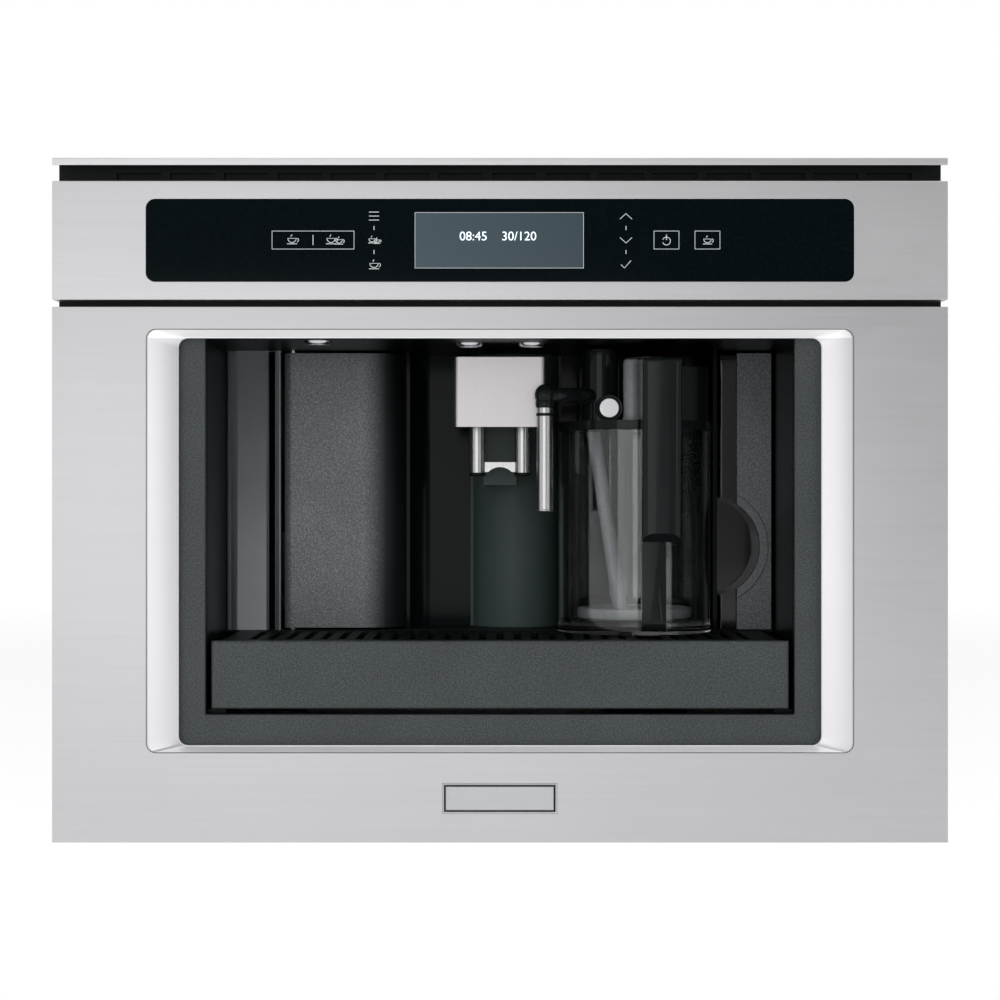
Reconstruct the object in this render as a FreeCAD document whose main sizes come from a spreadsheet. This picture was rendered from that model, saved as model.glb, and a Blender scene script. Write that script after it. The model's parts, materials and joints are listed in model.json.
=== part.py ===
"""Built-in bean-to-cup coffee machine for a 45 cm high cabinet niche.

Millimetres, +Z up, front towards -Y, origin under the middle of the machine. A steel front with a
touch panel and a stamped frame carries a dark niche. The niche holds a hinged service door, a height
adjustable coffee outlet, a plug-in milk jug, a slim water tank and a full width drip tray. The case
behind it runs on telescopic slides, so that the beans can be filled from above.
"""

import FreeCAD, Part
import math
import os

import Sketcher

DIMENSIONS = {
    # overall
    "front_wide": 595.0,  # across the steel front
    "front_tall": 455.0,
    "machine_deep": 412.0,  # front skin to rear panel
    "steel_gauge": 1.2,  # front and case sheet
    "front_return": 16.0,  # depth of the folded edges of the front panels
    "carrier_thick": 6.0,
    "play": 0.3,  # between parts that slide or lift out
    "seat": 0.2,  # between parts that are fitted
    "arc_gap": 0.05,  # left flat between the two arcs of a rounded end
    "edge_radius": 1.0,  # on moulded edges
    # strips of the front, from the top
    "trim_tall": 5.0,
    "vent_slot": 10.5,
    "fascia_tall": 79.0,
    "panel_gap": 4.7,
    # touch panel
    "glass_wide": 470.0,
    "glass_tall": 54.6,
    "glass_corner": 6.0,
    "glass_thick": 4.0,
    "glass_sunk": 0.3,
    "display_wide": 116.0,
    "display_tall": 40.0,
    "display_thick": 4.0,
    "board_wide": 430.0,
    "board_tall": 44.0,
    "board_thick": 1.6,
    "chip_wide": 10.0,
    "chip_tall": 20.0,
    "glass_ledge": 2.4,  # the ledges of the carrier that hold the glass
    "wing_step": 0.5,  # the seats beside the case lie this much forward of it
    "vent_first": 40.0,  # from the end of the front to the first opening behind the trim
    "vent_open": 30.0,
    "vent_step": 36.0,
    "front_vents": 15,
    "vent_edge": 3.0,
    # stamped frame
    "stamp_wide": 470.0,
    "stamp_drop": 14.8,  # below the top edge of the frame
    "stamp_rise": 59.5,  # above the bottom edge of the frame
    "stamp_corner": 6.5,
    "slope_side": 20.6,
    "slope_top": 5.5,
    "slope_bottom": 4.2,
    "slope_deep": 5.2,
    "slope_wall": 4.0,  # along the front
    "collar_deep": 10.0,  # front skin to the end of the collar behind the slopes
    # bezel and niche
    "bezel_lap": 8.0,
    "bezel_border": 17.2,  # from the slopes at the sides to the window
    "bezel_bottom": 83.8,
    "bezel_corner": 6.0,
    "tank_room": 4.0,  # behind the tank, along the side wall
    "niche_side_play": 1.5,
    "ceiling_thick": 3.0,
    "wall_thick": 3.3,
    "shelf_height": 133.4,
    "shelf_gauge": 1.5,
    "panel_depth": 127.0,  # front skin to the plane of door and tank
    "back_depth": 185.0,  # front skin to the glossy back wall
    "back_thick": 3.0,
    "back_gap": 0.8,  # from the glossy wall to the tank
    "back_corner": 18.0,
    "return_gap": 3.5,  # behind the folded edge of the service door
    "pilaster_wide": 30.5,
    "pilaster_deep": 15.0,
    "cove_radius": 9.0,
    "groove_wide": 5.2,
    "groove_floor": 4.0,
    "rib_wide": 3.8,
    "column_across": 12.0,  # centre of the column, right of the middle
    "column_radius": 33.0,
    "column_proud": 25.0,
    "lamp_radius": 7.0,
    "lamp_proud": 1.5,
    "lamp_first": -124.0,
    "lamp_second": -21.0,
    "lamp_third": 22.0,
    "lamp_first_depth": 36.0,
    "lamp_depth": 55.0,
    # service door
    "door_gap": 2.7,
    "door_wide": 87.0,
    "door_thick": 12.0,
    "door_corner": 23.0,
    "door_return": 28.0,
    "door_lip": 7.0,
    "door_play": 1.5,  # above and below the door
    "pin_radius": 2.5,
    "pin_reach": 12.0,
    "pin_clear": 1.0,  # beyond the end of a pin
    # drip tray
    "tray_gap": 3.7,
    "tray_front_tall": 45.5,
    "tray_front_thick": 8.0,
    "tray_edge": 1.2,
    "tray_sunk": 1.0,  # behind the face of the bezel
    "tray_side_gap": 9.2,  # to the sides of the window
    "tray_back": 266.0,  # front skin to the tray's back wall
    "tray_wall": 2.0,
    "tray_tall": 40.6,
    "grille_thick": 5.0,
    "slot_wide": 5.0,
    "slot_pitch": 12.0,
    "slot_count": 29,
    "slot_margin": 10.0,
    "bin_inset": 4.5,  # from the left edge of the service door
    "bin_wide": 74.0,
    "bin_front_depth": 138.0,
    "bin_deep": 118.0,
    "bin_wall": 1.8,
    "bin_corner": 6.0,
    "bin_sunk": 1.0,  # below the rim of the tray
    "chute_inset": 6.0,
    "chute_setback": 20.0,
    "chute_deep": 59.0,
    "runner_wide": 14.0,
    "runner_thick": 2.7,
    # coffee outlet
    "outlet_half": 31.9,
    "outlet_drop": 8.3,  # below the ceiling
    "outlet_tall": 48.9,
    "outlet_depth": 66.0,
    "outlet_deep": 56.0,
    "outlet_corner": 4.5,
    "cover_gauge": 1.5,
    "spout_pitch": 32.0,
    "spout_radius": 5.5,
    "spout_bore": 3.2,
    "spout_long": 33.0,
    "spout_depth": 94.0,
    "web_tall": 7.0,
    "web_thick": 3.0,
    "web_rise": 2.0,  # above the tips of the tubes
    "spout_root": 10.0,  # of the tubes in the carriage
    "guide_half": 12.0,
    "guide_below": 40.3,  # under the coffee outlet
    "guide_reach": 12.0,
    "guide_root": 22.0,  # behind the front of the column
    "guide_over": 4.0,  # above the coffee outlet
    # milk jug
    "jug_gap": 6.3,  # from the jug's lid to the tank
    "jug_headroom": 2.4,
    "jug_depth": 115.0,
    "jug_radius": 54.5,
    "jug_wall": 2.5,
    "jug_floor": 9.5,
    "lid_thick": 6.5,
    "lid_overhang": 1.0,
    "tower_left": 25.5,  # of the jug's centre
    "tower_ahead": 28.0,
    "tower_radius": 12.4,
    "tower_tall": 50.0,
    "dome_right": 8.8,
    "dome_ahead": 23.0,
    "dome_radius": 20.9,
    "dome_tall": 44.4,
    "head_left": 38.0,
    "head_right": 52.5,
    "head_ahead": 19.0,
    "head_behind": 47.0,
    "head_tall": 39.0,
    "head_corner": 12.0,
    "handle_left": 0.5,  # of the jug's centre
    "grip_wide": 26.5,
    "bar_wide": 16.5,
    "grip_ahead": 97.0,
    "grip_thick": 19.0,
    "bar_setback": 7.0,
    "bar_thick": 11.0,
    "grip_rise": 40.4,  # above the jug's lid
    "grip_long": 118.5,
    "bar_rise": 4.6,  # above the jug's foot
    "bar_foot_tall": 14.0,
    "grip_corner": 3.0,
    "slant_front": 6.0,  # the cut end of the grip drops this much at the bar
    "slant_back": 8.0,  # and rises this much behind
    "strut_lap": 4.0,
    "strut_outer": 8.0,
    "strut_inner": 4.0,
    "handle_root": 6.0,  # past the front of the jug
    "head_lap": 9.0,
    "intake_radius": 5.0,
    "intake_left": 29.4,  # of the jug's centre, at the lid
    "intake_lean": 19.3,  # further right at the floor
    "button_radius": 7.0,
    "button_ring": 9.3,
    "button_left": 20.1,  # of the jug's centre
    "button_rise": 8.7,  # above the jug's lid
    "button_travel": 2.5,
    "button_long": 9.0,
    "button_proud": 4.0,  # before the tower
    "ring_long": 13.0,
    "milk_tube_radius": 5.7,
    "milk_tube_bore": 4.2,
    "milk_tube_long": 71.6,
    "milk_tube_left": 65.5,  # of the jug's centre
    "milk_tube_ahead": 60.0,
    "milk_arm_rise": 8.2,  # above the jug's lid
    "milk_arm_tall": 16.5,
    "milk_arm_half": 6.2,
    "milk_arm_wall": 7.0,
    "milk_arm_left": 31.0,  # of the jug's centre
    "dock_radius": 6.0,
    "dock_rise": 16.9,  # above the jug's lid
    "dock_reach": 9.0,
    # water tank
    "tank_wide": 38.3,
    "tank_back_gap": 29.8,  # to the rear panel
    "tank_wall": 2.0,
    "tank_corner": 3.0,
    "plug_tall": 3.0,
    "tank_headroom": 6.3,  # over the walls of the tank
    "tank_lid_thick": 3.5,
    "tank_cover_wide": 25.1,
    "tank_cover_thick": 4.0,
    "scoop_offset": 6.2,  # of its centre, left of the tank
    "scoop_rise": 60.5,  # above the shelf
    "scoop_radius": 42.0,
    "scoop_rim": 6.0,
    "scoop_proud": 1.5,
    "scoop_deep": 22.0,
    # case
    "case_half": 266.0,
    "case_drop": 9.0,  # below the top of the front
    "case_flange": 12.0,
    "foot_tall": 10.0,
    "foot_radius": 14.0,
    "foot_inset": 30.0,
    "pan_lip": 15.0,
    "vent_wide": 4.0,
    "vent_tall": 40.0,
    "vent_pitch": 12.0,
    "vent_count": 12,
    "side_vent_height": 260.0,
    "side_vent_back": 170.0,
    "rear_vent_drop": 74.0,  # below the roof
    # slides
    "slide_thick": 14.0,
    "rail_start": 30.0,  # front skin to the front end of the slides
    "rail_long": 360.0,
    "rail_sheet": 1.5,
    "rail_play": 0.6,
    "rail_centre": 46.5,
    "rail_half": 22.5,
    "outer_lip": 3.0,  # from the case to the lips of the outer channel
    "bracket_top": 100.0,
    "bracket_bottom": 20.0,
    "bracket_hole": 2.25,
    "hole_pitch": 256.0,
    "hole_height": 85.0,
    # beans and grinding
    "grinder_across": -10.0,
    "grinder_inset": 106.0,  # from the back of the machine
    "grinder_radius": 42.0,
    "grinder_base": 262.0,
    "grinder_tall": 66.0,
    "grinder_wall": 4.0,
    "throat_tall": 8.0,
    "motor_radius": 28.0,
    "motor_tall": 95.0,
    "gearcase_radius": 36.0,
    "gearcase_tall": 30.0,
    "burr_radius": 33.0,
    "burr_tall": 14.0,
    "shaft_radius": 4.0,
    "hopper_wide": 150.0,
    "hopper_deep": 110.0,
    "hopper_wall": 2.0,
    "hopper_neck": 44.0,
    "hopper_straight": 50.0,
    "bean_lid_lap": 5.0,
    "bean_lid_thick": 3.5,
    "strap_long": 8.0,
    "lid_barrel": 3.0,
    "lid_pin": 1.5,
    "lug_thick": 6.0,
    "knob_radius": 14.0,
    "knob_tall": 4.0,
    "knob_offset": 30.0,
    "knob_grip_long": 22.4,
    "knob_grip_wide": 5.0,
    "knob_shaft": 14.0,
    # brewing
    "brew_wide": 74.0,
    "brew_front_depth": 150.0,
    "brew_deep": 140.0,
    "brew_tall": 180.0,
    "brew_sheet": 4.0,
    "brew_yoke": 12.0,  # from the top of the frame down to the yoke
    "back_margin": 20.0,
    "chamber_setback": 33.0,  # from the front of the frame to the chamber's centre
    "screw_setback": 47.0,  # behind the chamber's centre
    "ear_half": 8.0,
    "screw_radius": 5.0,
    "chamber_radius": 25.0,
    "chamber_wall": 3.0,
    "chamber_tall": 60.0,
    "chamber_rise": 100.0,
    "piston_drop": 8.0,  # its base hangs this much below the chamber
    "piston_tall": 16.0,
    "arm_drop": 24.0,
    "arm_half": 9.0,
    "arm_thick": 8.0,
    "nut_reach": 11.0,  # past the screw's centre
    "brew_motor_radius": 18.0,
    "brew_motor_tall": 40.0,
    "motor_foot_half": 26.0,
    "motor_foot_deep": 14.0,
    "motor_foot_thick": 2.2,
    # heating, pumping, power
    "coffee_boiler_radius": 24.0,
    "coffee_boiler_across": 70.0,
    "steam_boiler_radius": 26.0,
    "steam_boiler_across": 122.0,
    "steam_boiler_inset": 156.0,
    "boiler_tall": 128.0,
    "boiler_foot": 18.0,
    "terminal_tall": 8.0,
    "pump_radius": 18.0,
    "pump_left": 96.0,
    "pump_long": 52.0,
    "pump_nozzle": 8.0,
    "pump_neck": 7.2,
    "saddle_inset": 12.0,
    "pump_inset": 46.0,
    "pump_height": 45.0,
    "hose_radius": 3.0,
    "hose_bend": 17.0,
    "hose_clear": 1.0,
    "tank_valve_across": 178.0,
    "board_long": 180.0,
    "board_high": 150.0,
    "board_inset": 24.8,  # from the side of the case
    "board_low": 200.0,
    "standoff": 8.0,
    "post_inset": 8.0,
    "post_half": 3.0,
    "block_tall": 18.0,
    "inlet_wide": 48.0,
    "inlet_tall": 28.0,
    "inlet_across": -190.0,
    "inlet_height": 60.0,
    "inlet_deep": 24.0,
    "inlet_flange": 3.0,
    "inlet_plate": 2.0,
    "well_deep": 16.0,
    "contact_pitch": 8.0,
    "contact_wide": 2.0,
    "contact_tall": 6.0,
    "contact_sunk": 3.0,
}

doc = FreeCAD.newDocument("CoffeeMachine")
sheet = doc.addObject("Spreadsheet::Sheet", "Sizes")
pieces = []  # every sub-part that gets a file
UP = FreeCAD.Vector(0, 0, 1)


def fill_sheet():
    """Writes the driving dimensions into the sheet, one named cell each."""
    for row, (name, size) in enumerate(DIMENSIONS.items(), start=1):
        sheet.set(f"A{row}", name)
        sheet.set(f"B{row}", str(size))
        sheet.setAlias(f"B{row}", name)
    doc.recompute()


class Size:
    """A length worked out from the sheet: the expression that holds it, and its value."""

    def __init__(self, text, value):
        self.text = text
        self.value = float(value)

    @staticmethod
    def of(number):
        """A plain number as a Size, and a Size as it is."""
        return number if isinstance(number, Size) else Size(f"({number!r})", number)

    def __add__(self, other):
        other = Size.of(other)
        return Size(f"({self.text} + {other.text})", self.value + other.value)

    def __sub__(self, other):
        other = Size.of(other)
        return Size(f"({self.text} - {other.text})", self.value - other.value)

    def __mul__(self, other):
        other = Size.of(other)
        return Size(f"({self.text} * {other.text})", self.value * other.value)

    def __truediv__(self, other):
        other = Size.of(other)
        return Size(f"({self.text} / {other.text})", self.value / other.value)

    def __radd__(self, other):
        return Size.of(other) + self

    def __rsub__(self, other):
        return Size.of(other) - self

    def __rmul__(self, other):
        return Size.of(other) * self

    def __neg__(self):
        return Size(f"(0 - {self.text})", -self.value)


class Cells:
    """The sheet's cells by name: d.front_wide is the cell with that alias."""

    def __getattr__(self, name):
        return Size(f"Sizes.{name}", DIMENSIONS[name])


class Drawing:
    """A sketch whose points and radii are bound to the sheet."""

    def __init__(self, sketch):
        self.sketch = sketch

    def bind(self, size, kind, *where):
        """Adds a dimension and binds it to an expression."""
        number = self.sketch.addConstraint(Sketcher.Constraint(kind, *where, size.value))
        self.sketch.setExpression(f"Constraints[{number}]", size.text)

    def pin(self, geometry, point, x, y):
        """Holds a point at x, y from the sketch's origin."""
        self.bind(x, "DistanceX", -1, 1, geometry, point)
        self.bind(y, "DistanceY", -1, 1, geometry, point)

    def join(self, kind, *where):
        self.sketch.addConstraint(Sketcher.Constraint(kind, *where))

    def circle(self, x, y, radius):
        centre = FreeCAD.Vector(x.value, y.value, 0)
        ring = self.sketch.addGeometry(Part.Circle(centre, UP, radius.value), False)
        self.pin(ring, 3, x, y)
        self.bind(radius, "Radius", ring)

    def segment(self, x, y, radius, chord):
        """The part of a circle that lies right of a vertical chord."""
        rise = (radius.value**2 - (chord.value - x.value) ** 2) ** 0.5
        centre = FreeCAD.Vector(x.value, y.value, 0)
        low = FreeCAD.Vector(chord.value, y.value - rise, 0)
        far = FreeCAD.Vector(x.value + radius.value, y.value, 0)
        high = FreeCAD.Vector(chord.value, y.value + rise, 0)
        arc = self.sketch.addGeometry(Part.Arc(low, far, high), False)
        line = self.sketch.addGeometry(Part.LineSegment(high, low), False)
        self.pin(arc, 3, Size.of(x), Size.of(y))
        self.bind(radius, "Radius", arc)
        self.join("Coincident", arc, 2, line, 1)
        self.join("Coincident", line, 2, arc, 1)
        self.join("Vertical", line)
        self.bind(chord, "DistanceX", -1, 1, line, 1)
        assert (self.sketch.Geometry[arc].Center - centre).Length < 1e-6

    def polygon(self, corners):
        """A closed outline. A corner is (x, y), or (x, y, radius) where it is rounded."""
        points = [FreeCAD.Vector(c[0].value, c[1].value, 0) for c in corners]
        count = len(corners)
        ends = [self.corner_ends(points, i, corners[i]) for i in range(count)]
        lines = [
            self.sketch.addGeometry(Part.LineSegment(ends[i][1], ends[(i + 1) % count][0]), False)
            for i in range(count)
        ]
        for i, corner in enumerate(corners):
            before, after = lines[i - 1], lines[i]
            if len(corner) == 2:
                self.join("Coincident", before, 2, after, 1)
                self.pin(after, 1, corner[0], corner[1])
            else:
                self.round_corner(corner, ends[i], before, after, points[i])

    @staticmethod
    def corner_ends(points, i, corner):
        """Where the lines stop on either side of a corner, and the centre of its arc."""
        here, back, ahead = points[i], points[i - 1], points[(i + 1) % len(points)]
        if len(corner) == 2:
            return here, here, None
        to_back = (back - here).normalize()
        to_ahead = (ahead - here).normalize()
        half = to_back.getAngle(to_ahead) / 2
        reach = corner[2].value / math.tan(half)
        middle = (to_back + to_ahead).normalize()
        centre = here + middle * (reach**2 + corner[2].value ** 2) ** 0.5
        return here + to_back * reach, here + to_ahead * reach, centre

    def round_corner(self, corner, ends, before, after, point):
        start, end, centre = ends
        turn = (start - centre).cross(end - centre).z
        outward = (point - centre).normalize() * corner[2].value
        first, last = (start, end) if turn > 0 else (end, start)
        arc = self.sketch.addGeometry(Part.Arc(first, centre + outward, last), False)
        here = self.sketch.addGeometry(Part.Point(point), True)
        at_start, at_end = (1, 2) if turn > 0 else (2, 1)
        self.join("Tangent", before, 2, arc, at_start)
        self.join("Tangent", after, 1, arc, at_end)
        self.pin(here, 1, corner[0], corner[1])
        self.join("PointOnObject", here, 1, before)
        self.join("PointOnObject", here, 1, after)
        self.bind(corner[2], "Radius", arc)


def sizes(*numbers):
    return [Size.of(n) for n in numbers]


def rect(x0, x1, y0, y1, radius=None):
    """A rectangle's four corners as an outline, all rounded alike or all sharp."""
    x0, x1, y0, y1 = sizes(x0, x1, y0, y1)
    corners = [(x0, y0), (x1, y0), (x1, y1), (x0, y1)]
    if radius is not None:
        corners = [(x, y, Size.of(radius)) for x, y in corners]
    return lambda drawing: drawing.polygon(corners)


def poly(*corners):
    bound = [tuple(sizes(*corner)) for corner in corners]
    return lambda drawing: drawing.polygon(bound)


def circle(x, y, radius):
    x, y, radius = sizes(x, y, radius)
    return lambda drawing: drawing.circle(x, y, radius)


def hexagon(radius):
    """Six corners on a circle round the piece's own axis."""
    half = radius / 2
    wide = radius * (3**0.5 / 2)
    return poly((radius, 0), (half, wide), (-half, wide), (-radius, 0), (-half, -wide), (half, -wide))


def segment(x, y, radius, chord):
    x, y, radius, chord = sizes(x, y, radius, chord)
    return lambda drawing: drawing.segment(x, y, radius, chord)


class Piece:
    """A body made feature by feature. Planes are named by their two axes: on XY an outline
    is (x, y) and grows along Z, on XZ it is (x, z) and grows along Y, on YZ it is (y, z) and
    grows along X. Every feature runs from start to end along that third axis."""

    def __init__(self, label, x=0, y=0, z=0):
        self.body = doc.addObject("PartDesign::Body", label)
        self.body.Label = label
        for axis, size in zip("xyz", sizes(x, y, z)):
            self.body.setExpression(f"Placement.Base.{axis}", size.text)
        self.label = label
        self.features = 0
        pieces.append(self.body)

    def sketch(self, plane, at, outlines):
        self.features += 1
        origin = next(o for o in self.body.Origin.OriginFeatures if o.Role == f"{plane}_Plane")
        sketch = self.body.newObject("Sketcher::SketchObject", f"{self.label}_sketch{self.features}")
        sketch.AttachmentSupport = (origin, [""])
        sketch.MapMode = "FlatFace"
        away = -at if plane == "XZ" else at
        sketch.AttachmentOffset = FreeCAD.Placement(UP * away.value, FreeCAD.Rotation())
        sketch.setExpression("AttachmentOffset.Base.z", away.text)
        drawing = Drawing(sketch)
        for outline in outlines:
            outline(drawing)
        sketch.Visibility = False
        return sketch

    def grow(self, kind, plane, start, end, outlines, backwards):
        start, end = sizes(start, end)
        sketch = self.sketch(plane, start, outlines)
        feature = self.body.newObject(f"PartDesign::{kind}", f"{self.label}_{kind}{self.features}")
        feature.Profile = sketch
        feature.setExpression("Length", (end - start).text)
        feature.Length = end.value - start.value
        feature.Reversed = backwards
        return self

    def pad(self, plane, start, end, *outlines):
        return self.grow("Pad", plane, start, end, outlines, plane == "XZ")

    def cut(self, plane, start, end, *outlines):
        return self.grow("Pocket", plane, start, end, outlines, plane != "XZ")

    def loft(self, kind, plane, sections):
        """kind is AdditiveLoft or SubtractiveLoft, sections are (place, outline) in order."""
        drawn = [self.sketch(plane, Size.of(at), [outline]) for at, outline in sections]
        feature = self.body.newObject(f"PartDesign::{kind}", f"{self.label}_{kind}{self.features}")
        feature.Profile = drawn[0]
        feature.Sections = drawn[1:]
        feature.Ruled = True
        return self

    def turn(self, kind, outline):
        """Turns an (r, z) outline about the piece's own Z axis: Revolution adds, Groove cuts."""
        sketch = self.sketch("XZ", Size.of(0), [outline])
        feature = self.body.newObject(f"PartDesign::{kind}", f"{self.label}_{kind}{self.features}")
        feature.Profile = sketch
        feature.ReferenceAxis = (sketch, ["V_Axis"])
        feature.Angle = 360
        return self

    def fillet(self, radius, test, kind="Fillet"):
        """Rounds, or chamfers, the edges whose middle point passes the test."""
        doc.recompute()
        base = self.body.Tip
        names = [
            f"Edge{number}"
            for number, edge in enumerate(base.Shape.Edges, start=1)
            if test(edge.CenterOfMass, edge)
        ]
        feature = self.body.newObject(f"PartDesign::{kind}", f"{self.label}_{kind}{self.features}")
        feature.Base = (base, names)
        property_name = "Radius" if kind == "Fillet" else "Size"
        feature.setExpression(property_name, Size.of(radius).text)
        self.features += 1
        return self

    def repeat(self, step, count, axis):
        """Repeats the last feature along an axis of the body."""
        doc.recompute()
        last = self.body.Tip
        origin = next(o for o in self.body.Origin.OriginFeatures if o.Role == f"{axis}_Axis")
        feature = self.body.newObject("PartDesign::LinearPattern", f"{self.label}_row{self.features}")
        feature.Originals = [last]
        feature.Direction = (origin, [""])
        feature.Mode = "Extent"
        step, count = sizes(step, count)
        feature.setExpression("Length", (step * (count - 1)).text)
        feature.Length = step.value * (count.value - 1)
        feature.setExpression("Occurrences", count.text)
        self.body.Tip = feature
        self.features += 1
        return self


def group(label, members):
    """Several like solids, such as feet or screws, as one sub-part."""
    compound = doc.addObject("Part::Compound", label)
    compound.Label = label
    compound.Links = members
    pieces.append(compound)
    return compound


def rod(name, x, y, z, radius, long, sides=0):
    """An upright bar that starts at x, y, z, round unless it has a number of sides."""
    bar = doc.addObject("Part::Prism" if sides else "Part::Cylinder", name)
    for axis, size in zip("xyz", sizes(x, y, z)):
        bar.setExpression(f"Placement.Base.{axis}", size.text)
    bar.setExpression("Circumradius" if sides else "Radius", Size.of(radius).text)
    bar.setExpression("Height", Size.of(long).text)
    if sides:
        bar.Polygon = sides
    return bar


def cuboid(label, x0, x1, y0, y1, z0, z1):
    """A body that starts as a box between six planes."""
    return Piece(label).pad("XY", z0, z1, rect(x0, x1, y0, y1))


fill_sheet()
d = Cells()

# Planes that several parts share.
FRONT = -(d.machine_deep / 2)
BACK = d.machine_deep / 2
GAUGE = d.steel_gauge
FOLD = GAUGE * 0.6  # outer radius of a folded sheet
CARRIER_FRONT = FRONT + d.front_return
CASE_FRONT = CARRIER_FRONT + d.carrier_thick
HALF_WIDE = d.front_wide / 2
TRIM_BASE = d.front_tall - d.trim_tall
FASCIA_TOP = TRIM_BASE - d.vent_slot
FASCIA_BASE = FASCIA_TOP - d.fascia_tall
FRAME_TOP = FASCIA_BASE - d.panel_gap
GLASS_LEVEL = (FASCIA_TOP + FASCIA_BASE) / 2
STAMP_TOP = FRAME_TOP - d.stamp_drop
BEZEL_FRONT = FRONT + d.collar_deep + d.seat
BEZEL_HALF = d.stamp_wide / 2 - d.slope_side - d.bezel_border
NICHE_HALF = BEZEL_HALF + d.niche_side_play
DOOR_PLANE = FRONT + d.panel_depth
BACK_WALL = FRONT + d.back_depth
SHELF_TOP = d.shelf_height
SHELF_BOTTOM = d.shelf_height - d.shelf_gauge
CEILING = STAMP_TOP - d.slope_top
TRAY_HALF = BEZEL_HALF - d.tray_side_gap
TRAY_BASE = d.bezel_bottom + d.tray_gap
TRAY_FRONT = BEZEL_FRONT + d.tray_sunk
TRAY_START = TRAY_FRONT + d.tray_front_thick
TRAY_END = FRONT + d.tray_back
TRAY_RIM = TRAY_BASE + d.tray_tall
GRILLE_TOP = TRAY_RIM + d.grille_thick
TANK_RIGHT = BEZEL_HALF - d.play * 2
TANK_LEFT = TANK_RIGHT - d.tank_wide
TANK_FRONT = DOOR_PLANE + d.tank_cover_thick
TANK_BACK = BACK - GAUGE - d.tank_back_gap
TANK_BASE = SHELF_TOP + d.play
TANK_TOP = CEILING - d.tank_headroom
SCOOP_X = TANK_LEFT - d.scoop_offset
SCOOP_LEVEL = SHELF_TOP + d.scoop_rise
JUG_X = TANK_LEFT - d.jug_gap - d.lid_overhang - d.jug_radius
JUG_Y = FRONT + d.jug_depth
JUG_BASE = GRILLE_TOP + d.play
HEAD_BASE = CEILING - d.jug_headroom - d.tower_tall
LID_BASE = HEAD_BASE - d.lid_thick
TOWER_X = JUG_X - d.tower_left
TOWER_Y = JUG_Y - d.tower_ahead
DOME_X = JUG_X + d.dome_right
DOME_Y = JUG_Y - d.dome_ahead
HEAD_FRONT = JUG_Y - d.head_ahead
HEAD_BACK = JUG_Y + d.head_behind
DOCK_LEVEL = HEAD_BASE + d.dock_rise
CASE_IN = d.case_half - GAUGE
PAN_TOP = d.foot_tall + GAUGE
REAR_INNER = BACK - GAUGE
CASE_TOP = d.front_tall - d.case_drop
ROOF_UNDER = CASE_TOP - GAUGE
HOUSING_TOP = d.grinder_base + d.grinder_tall
COLUMN_BACK = BACK_WALL - d.column_proud + d.column_radius
GRINDER_Y = BACK - d.grinder_inset
STEAM_Y = BACK - d.steam_boiler_inset
PUMP_Y = BACK - d.pump_inset


def rail_outer(label, side):
    """The cabinet's half of a slide: a screwed bracket with an inward facing channel."""
    wall = d.case_half + d.slide_thick
    inner = wall - d.rail_sheet
    start = FRONT + d.rail_start
    end = start + d.rail_long
    low = d.rail_centre - d.rail_half
    high = d.rail_centre + d.rail_half
    lip = d.case_half + d.outer_lip
    piece = Piece(label)
    piece.pad("YZ", side * inner, side * wall, rect(start, end, d.bracket_bottom, d.bracket_top))
    piece.pad("XZ", start, end, rect(side * lip, side * wall, low, low + d.rail_sheet))
    piece.pad("XZ", start, end, rect(side * lip, side * wall, high - d.rail_sheet, high))
    middle = (start + end) / 2
    holes = [
        circle(middle + way * d.hole_pitch / 2, d.hole_height, d.bracket_hole) for way in (-1, 1)
    ]
    piece.cut("YZ", side * inner, side * wall, *holes)


def rail_middle(label, side):
    """The member between the two, nested in the outer channel."""
    wall = d.case_half + d.slide_thick - d.rail_sheet - d.rail_play
    inner = wall - d.rail_sheet
    start = FRONT + d.rail_start
    half = d.rail_half - d.rail_sheet - d.rail_play
    low = d.rail_centre - half
    high = d.rail_centre + half
    lip = d.case_half + d.rail_sheet + d.rail_play
    channel = poly(
        (side * wall, low),
        (side * wall, high),
        (side * lip, high),
        (side * lip, high - d.rail_sheet),
        (side * inner, high - d.rail_sheet),
        (side * inner, low + d.rail_sheet),
        (side * lip, low + d.rail_sheet),
        (side * lip, low),
    )
    Piece(label).pad("XZ", start, start + d.rail_long, channel)


def rail_inner(label, side):
    """The machine's half, an outward facing channel on the case."""
    wall = d.case_half
    web = wall + d.rail_sheet
    start = FRONT + d.rail_start
    half = d.rail_half - 2 * d.rail_sheet - 2 * d.rail_play
    low = d.rail_centre - half
    high = d.rail_centre + half
    lip = d.case_half + d.slide_thick - 2 * d.rail_sheet - 3 * d.rail_play
    channel = poly(
        (side * wall, low),
        (side * lip, low),
        (side * lip, low + d.rail_sheet),
        (side * web, low + d.rail_sheet),
        (side * web, high - d.rail_sheet),
        (side * lip, high - d.rail_sheet),
        (side * lip, high),
        (side * wall, high),
    )
    Piece(label).pad("XZ", start, start + d.rail_long, channel)


def base_pan():
    """The floor of the case, folded up all round."""
    top = d.foot_tall + d.pan_lip
    pan = cuboid("base_pan", -CASE_IN, CASE_IN, CASE_FRONT, REAR_INNER, d.foot_tall, top)
    inside = rect(-CASE_IN + GAUGE, CASE_IN - GAUGE, CASE_FRONT + GAUGE, REAR_INNER - GAUGE)
    pan.cut("XY", PAN_TOP, top, inside)


def feet():
    inset = d.foot_inset
    spots = [
        (side * (d.case_half - inset), y)
        for side in (-1, 1)
        for y in (CASE_FRONT + inset, BACK - inset)
    ]
    members = [
        rod(f"foot{n}", x, y, 0, d.foot_radius, d.foot_tall, sides=8) for n, (x, y) in enumerate(spots)
    ]
    group("feet", members)


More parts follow.
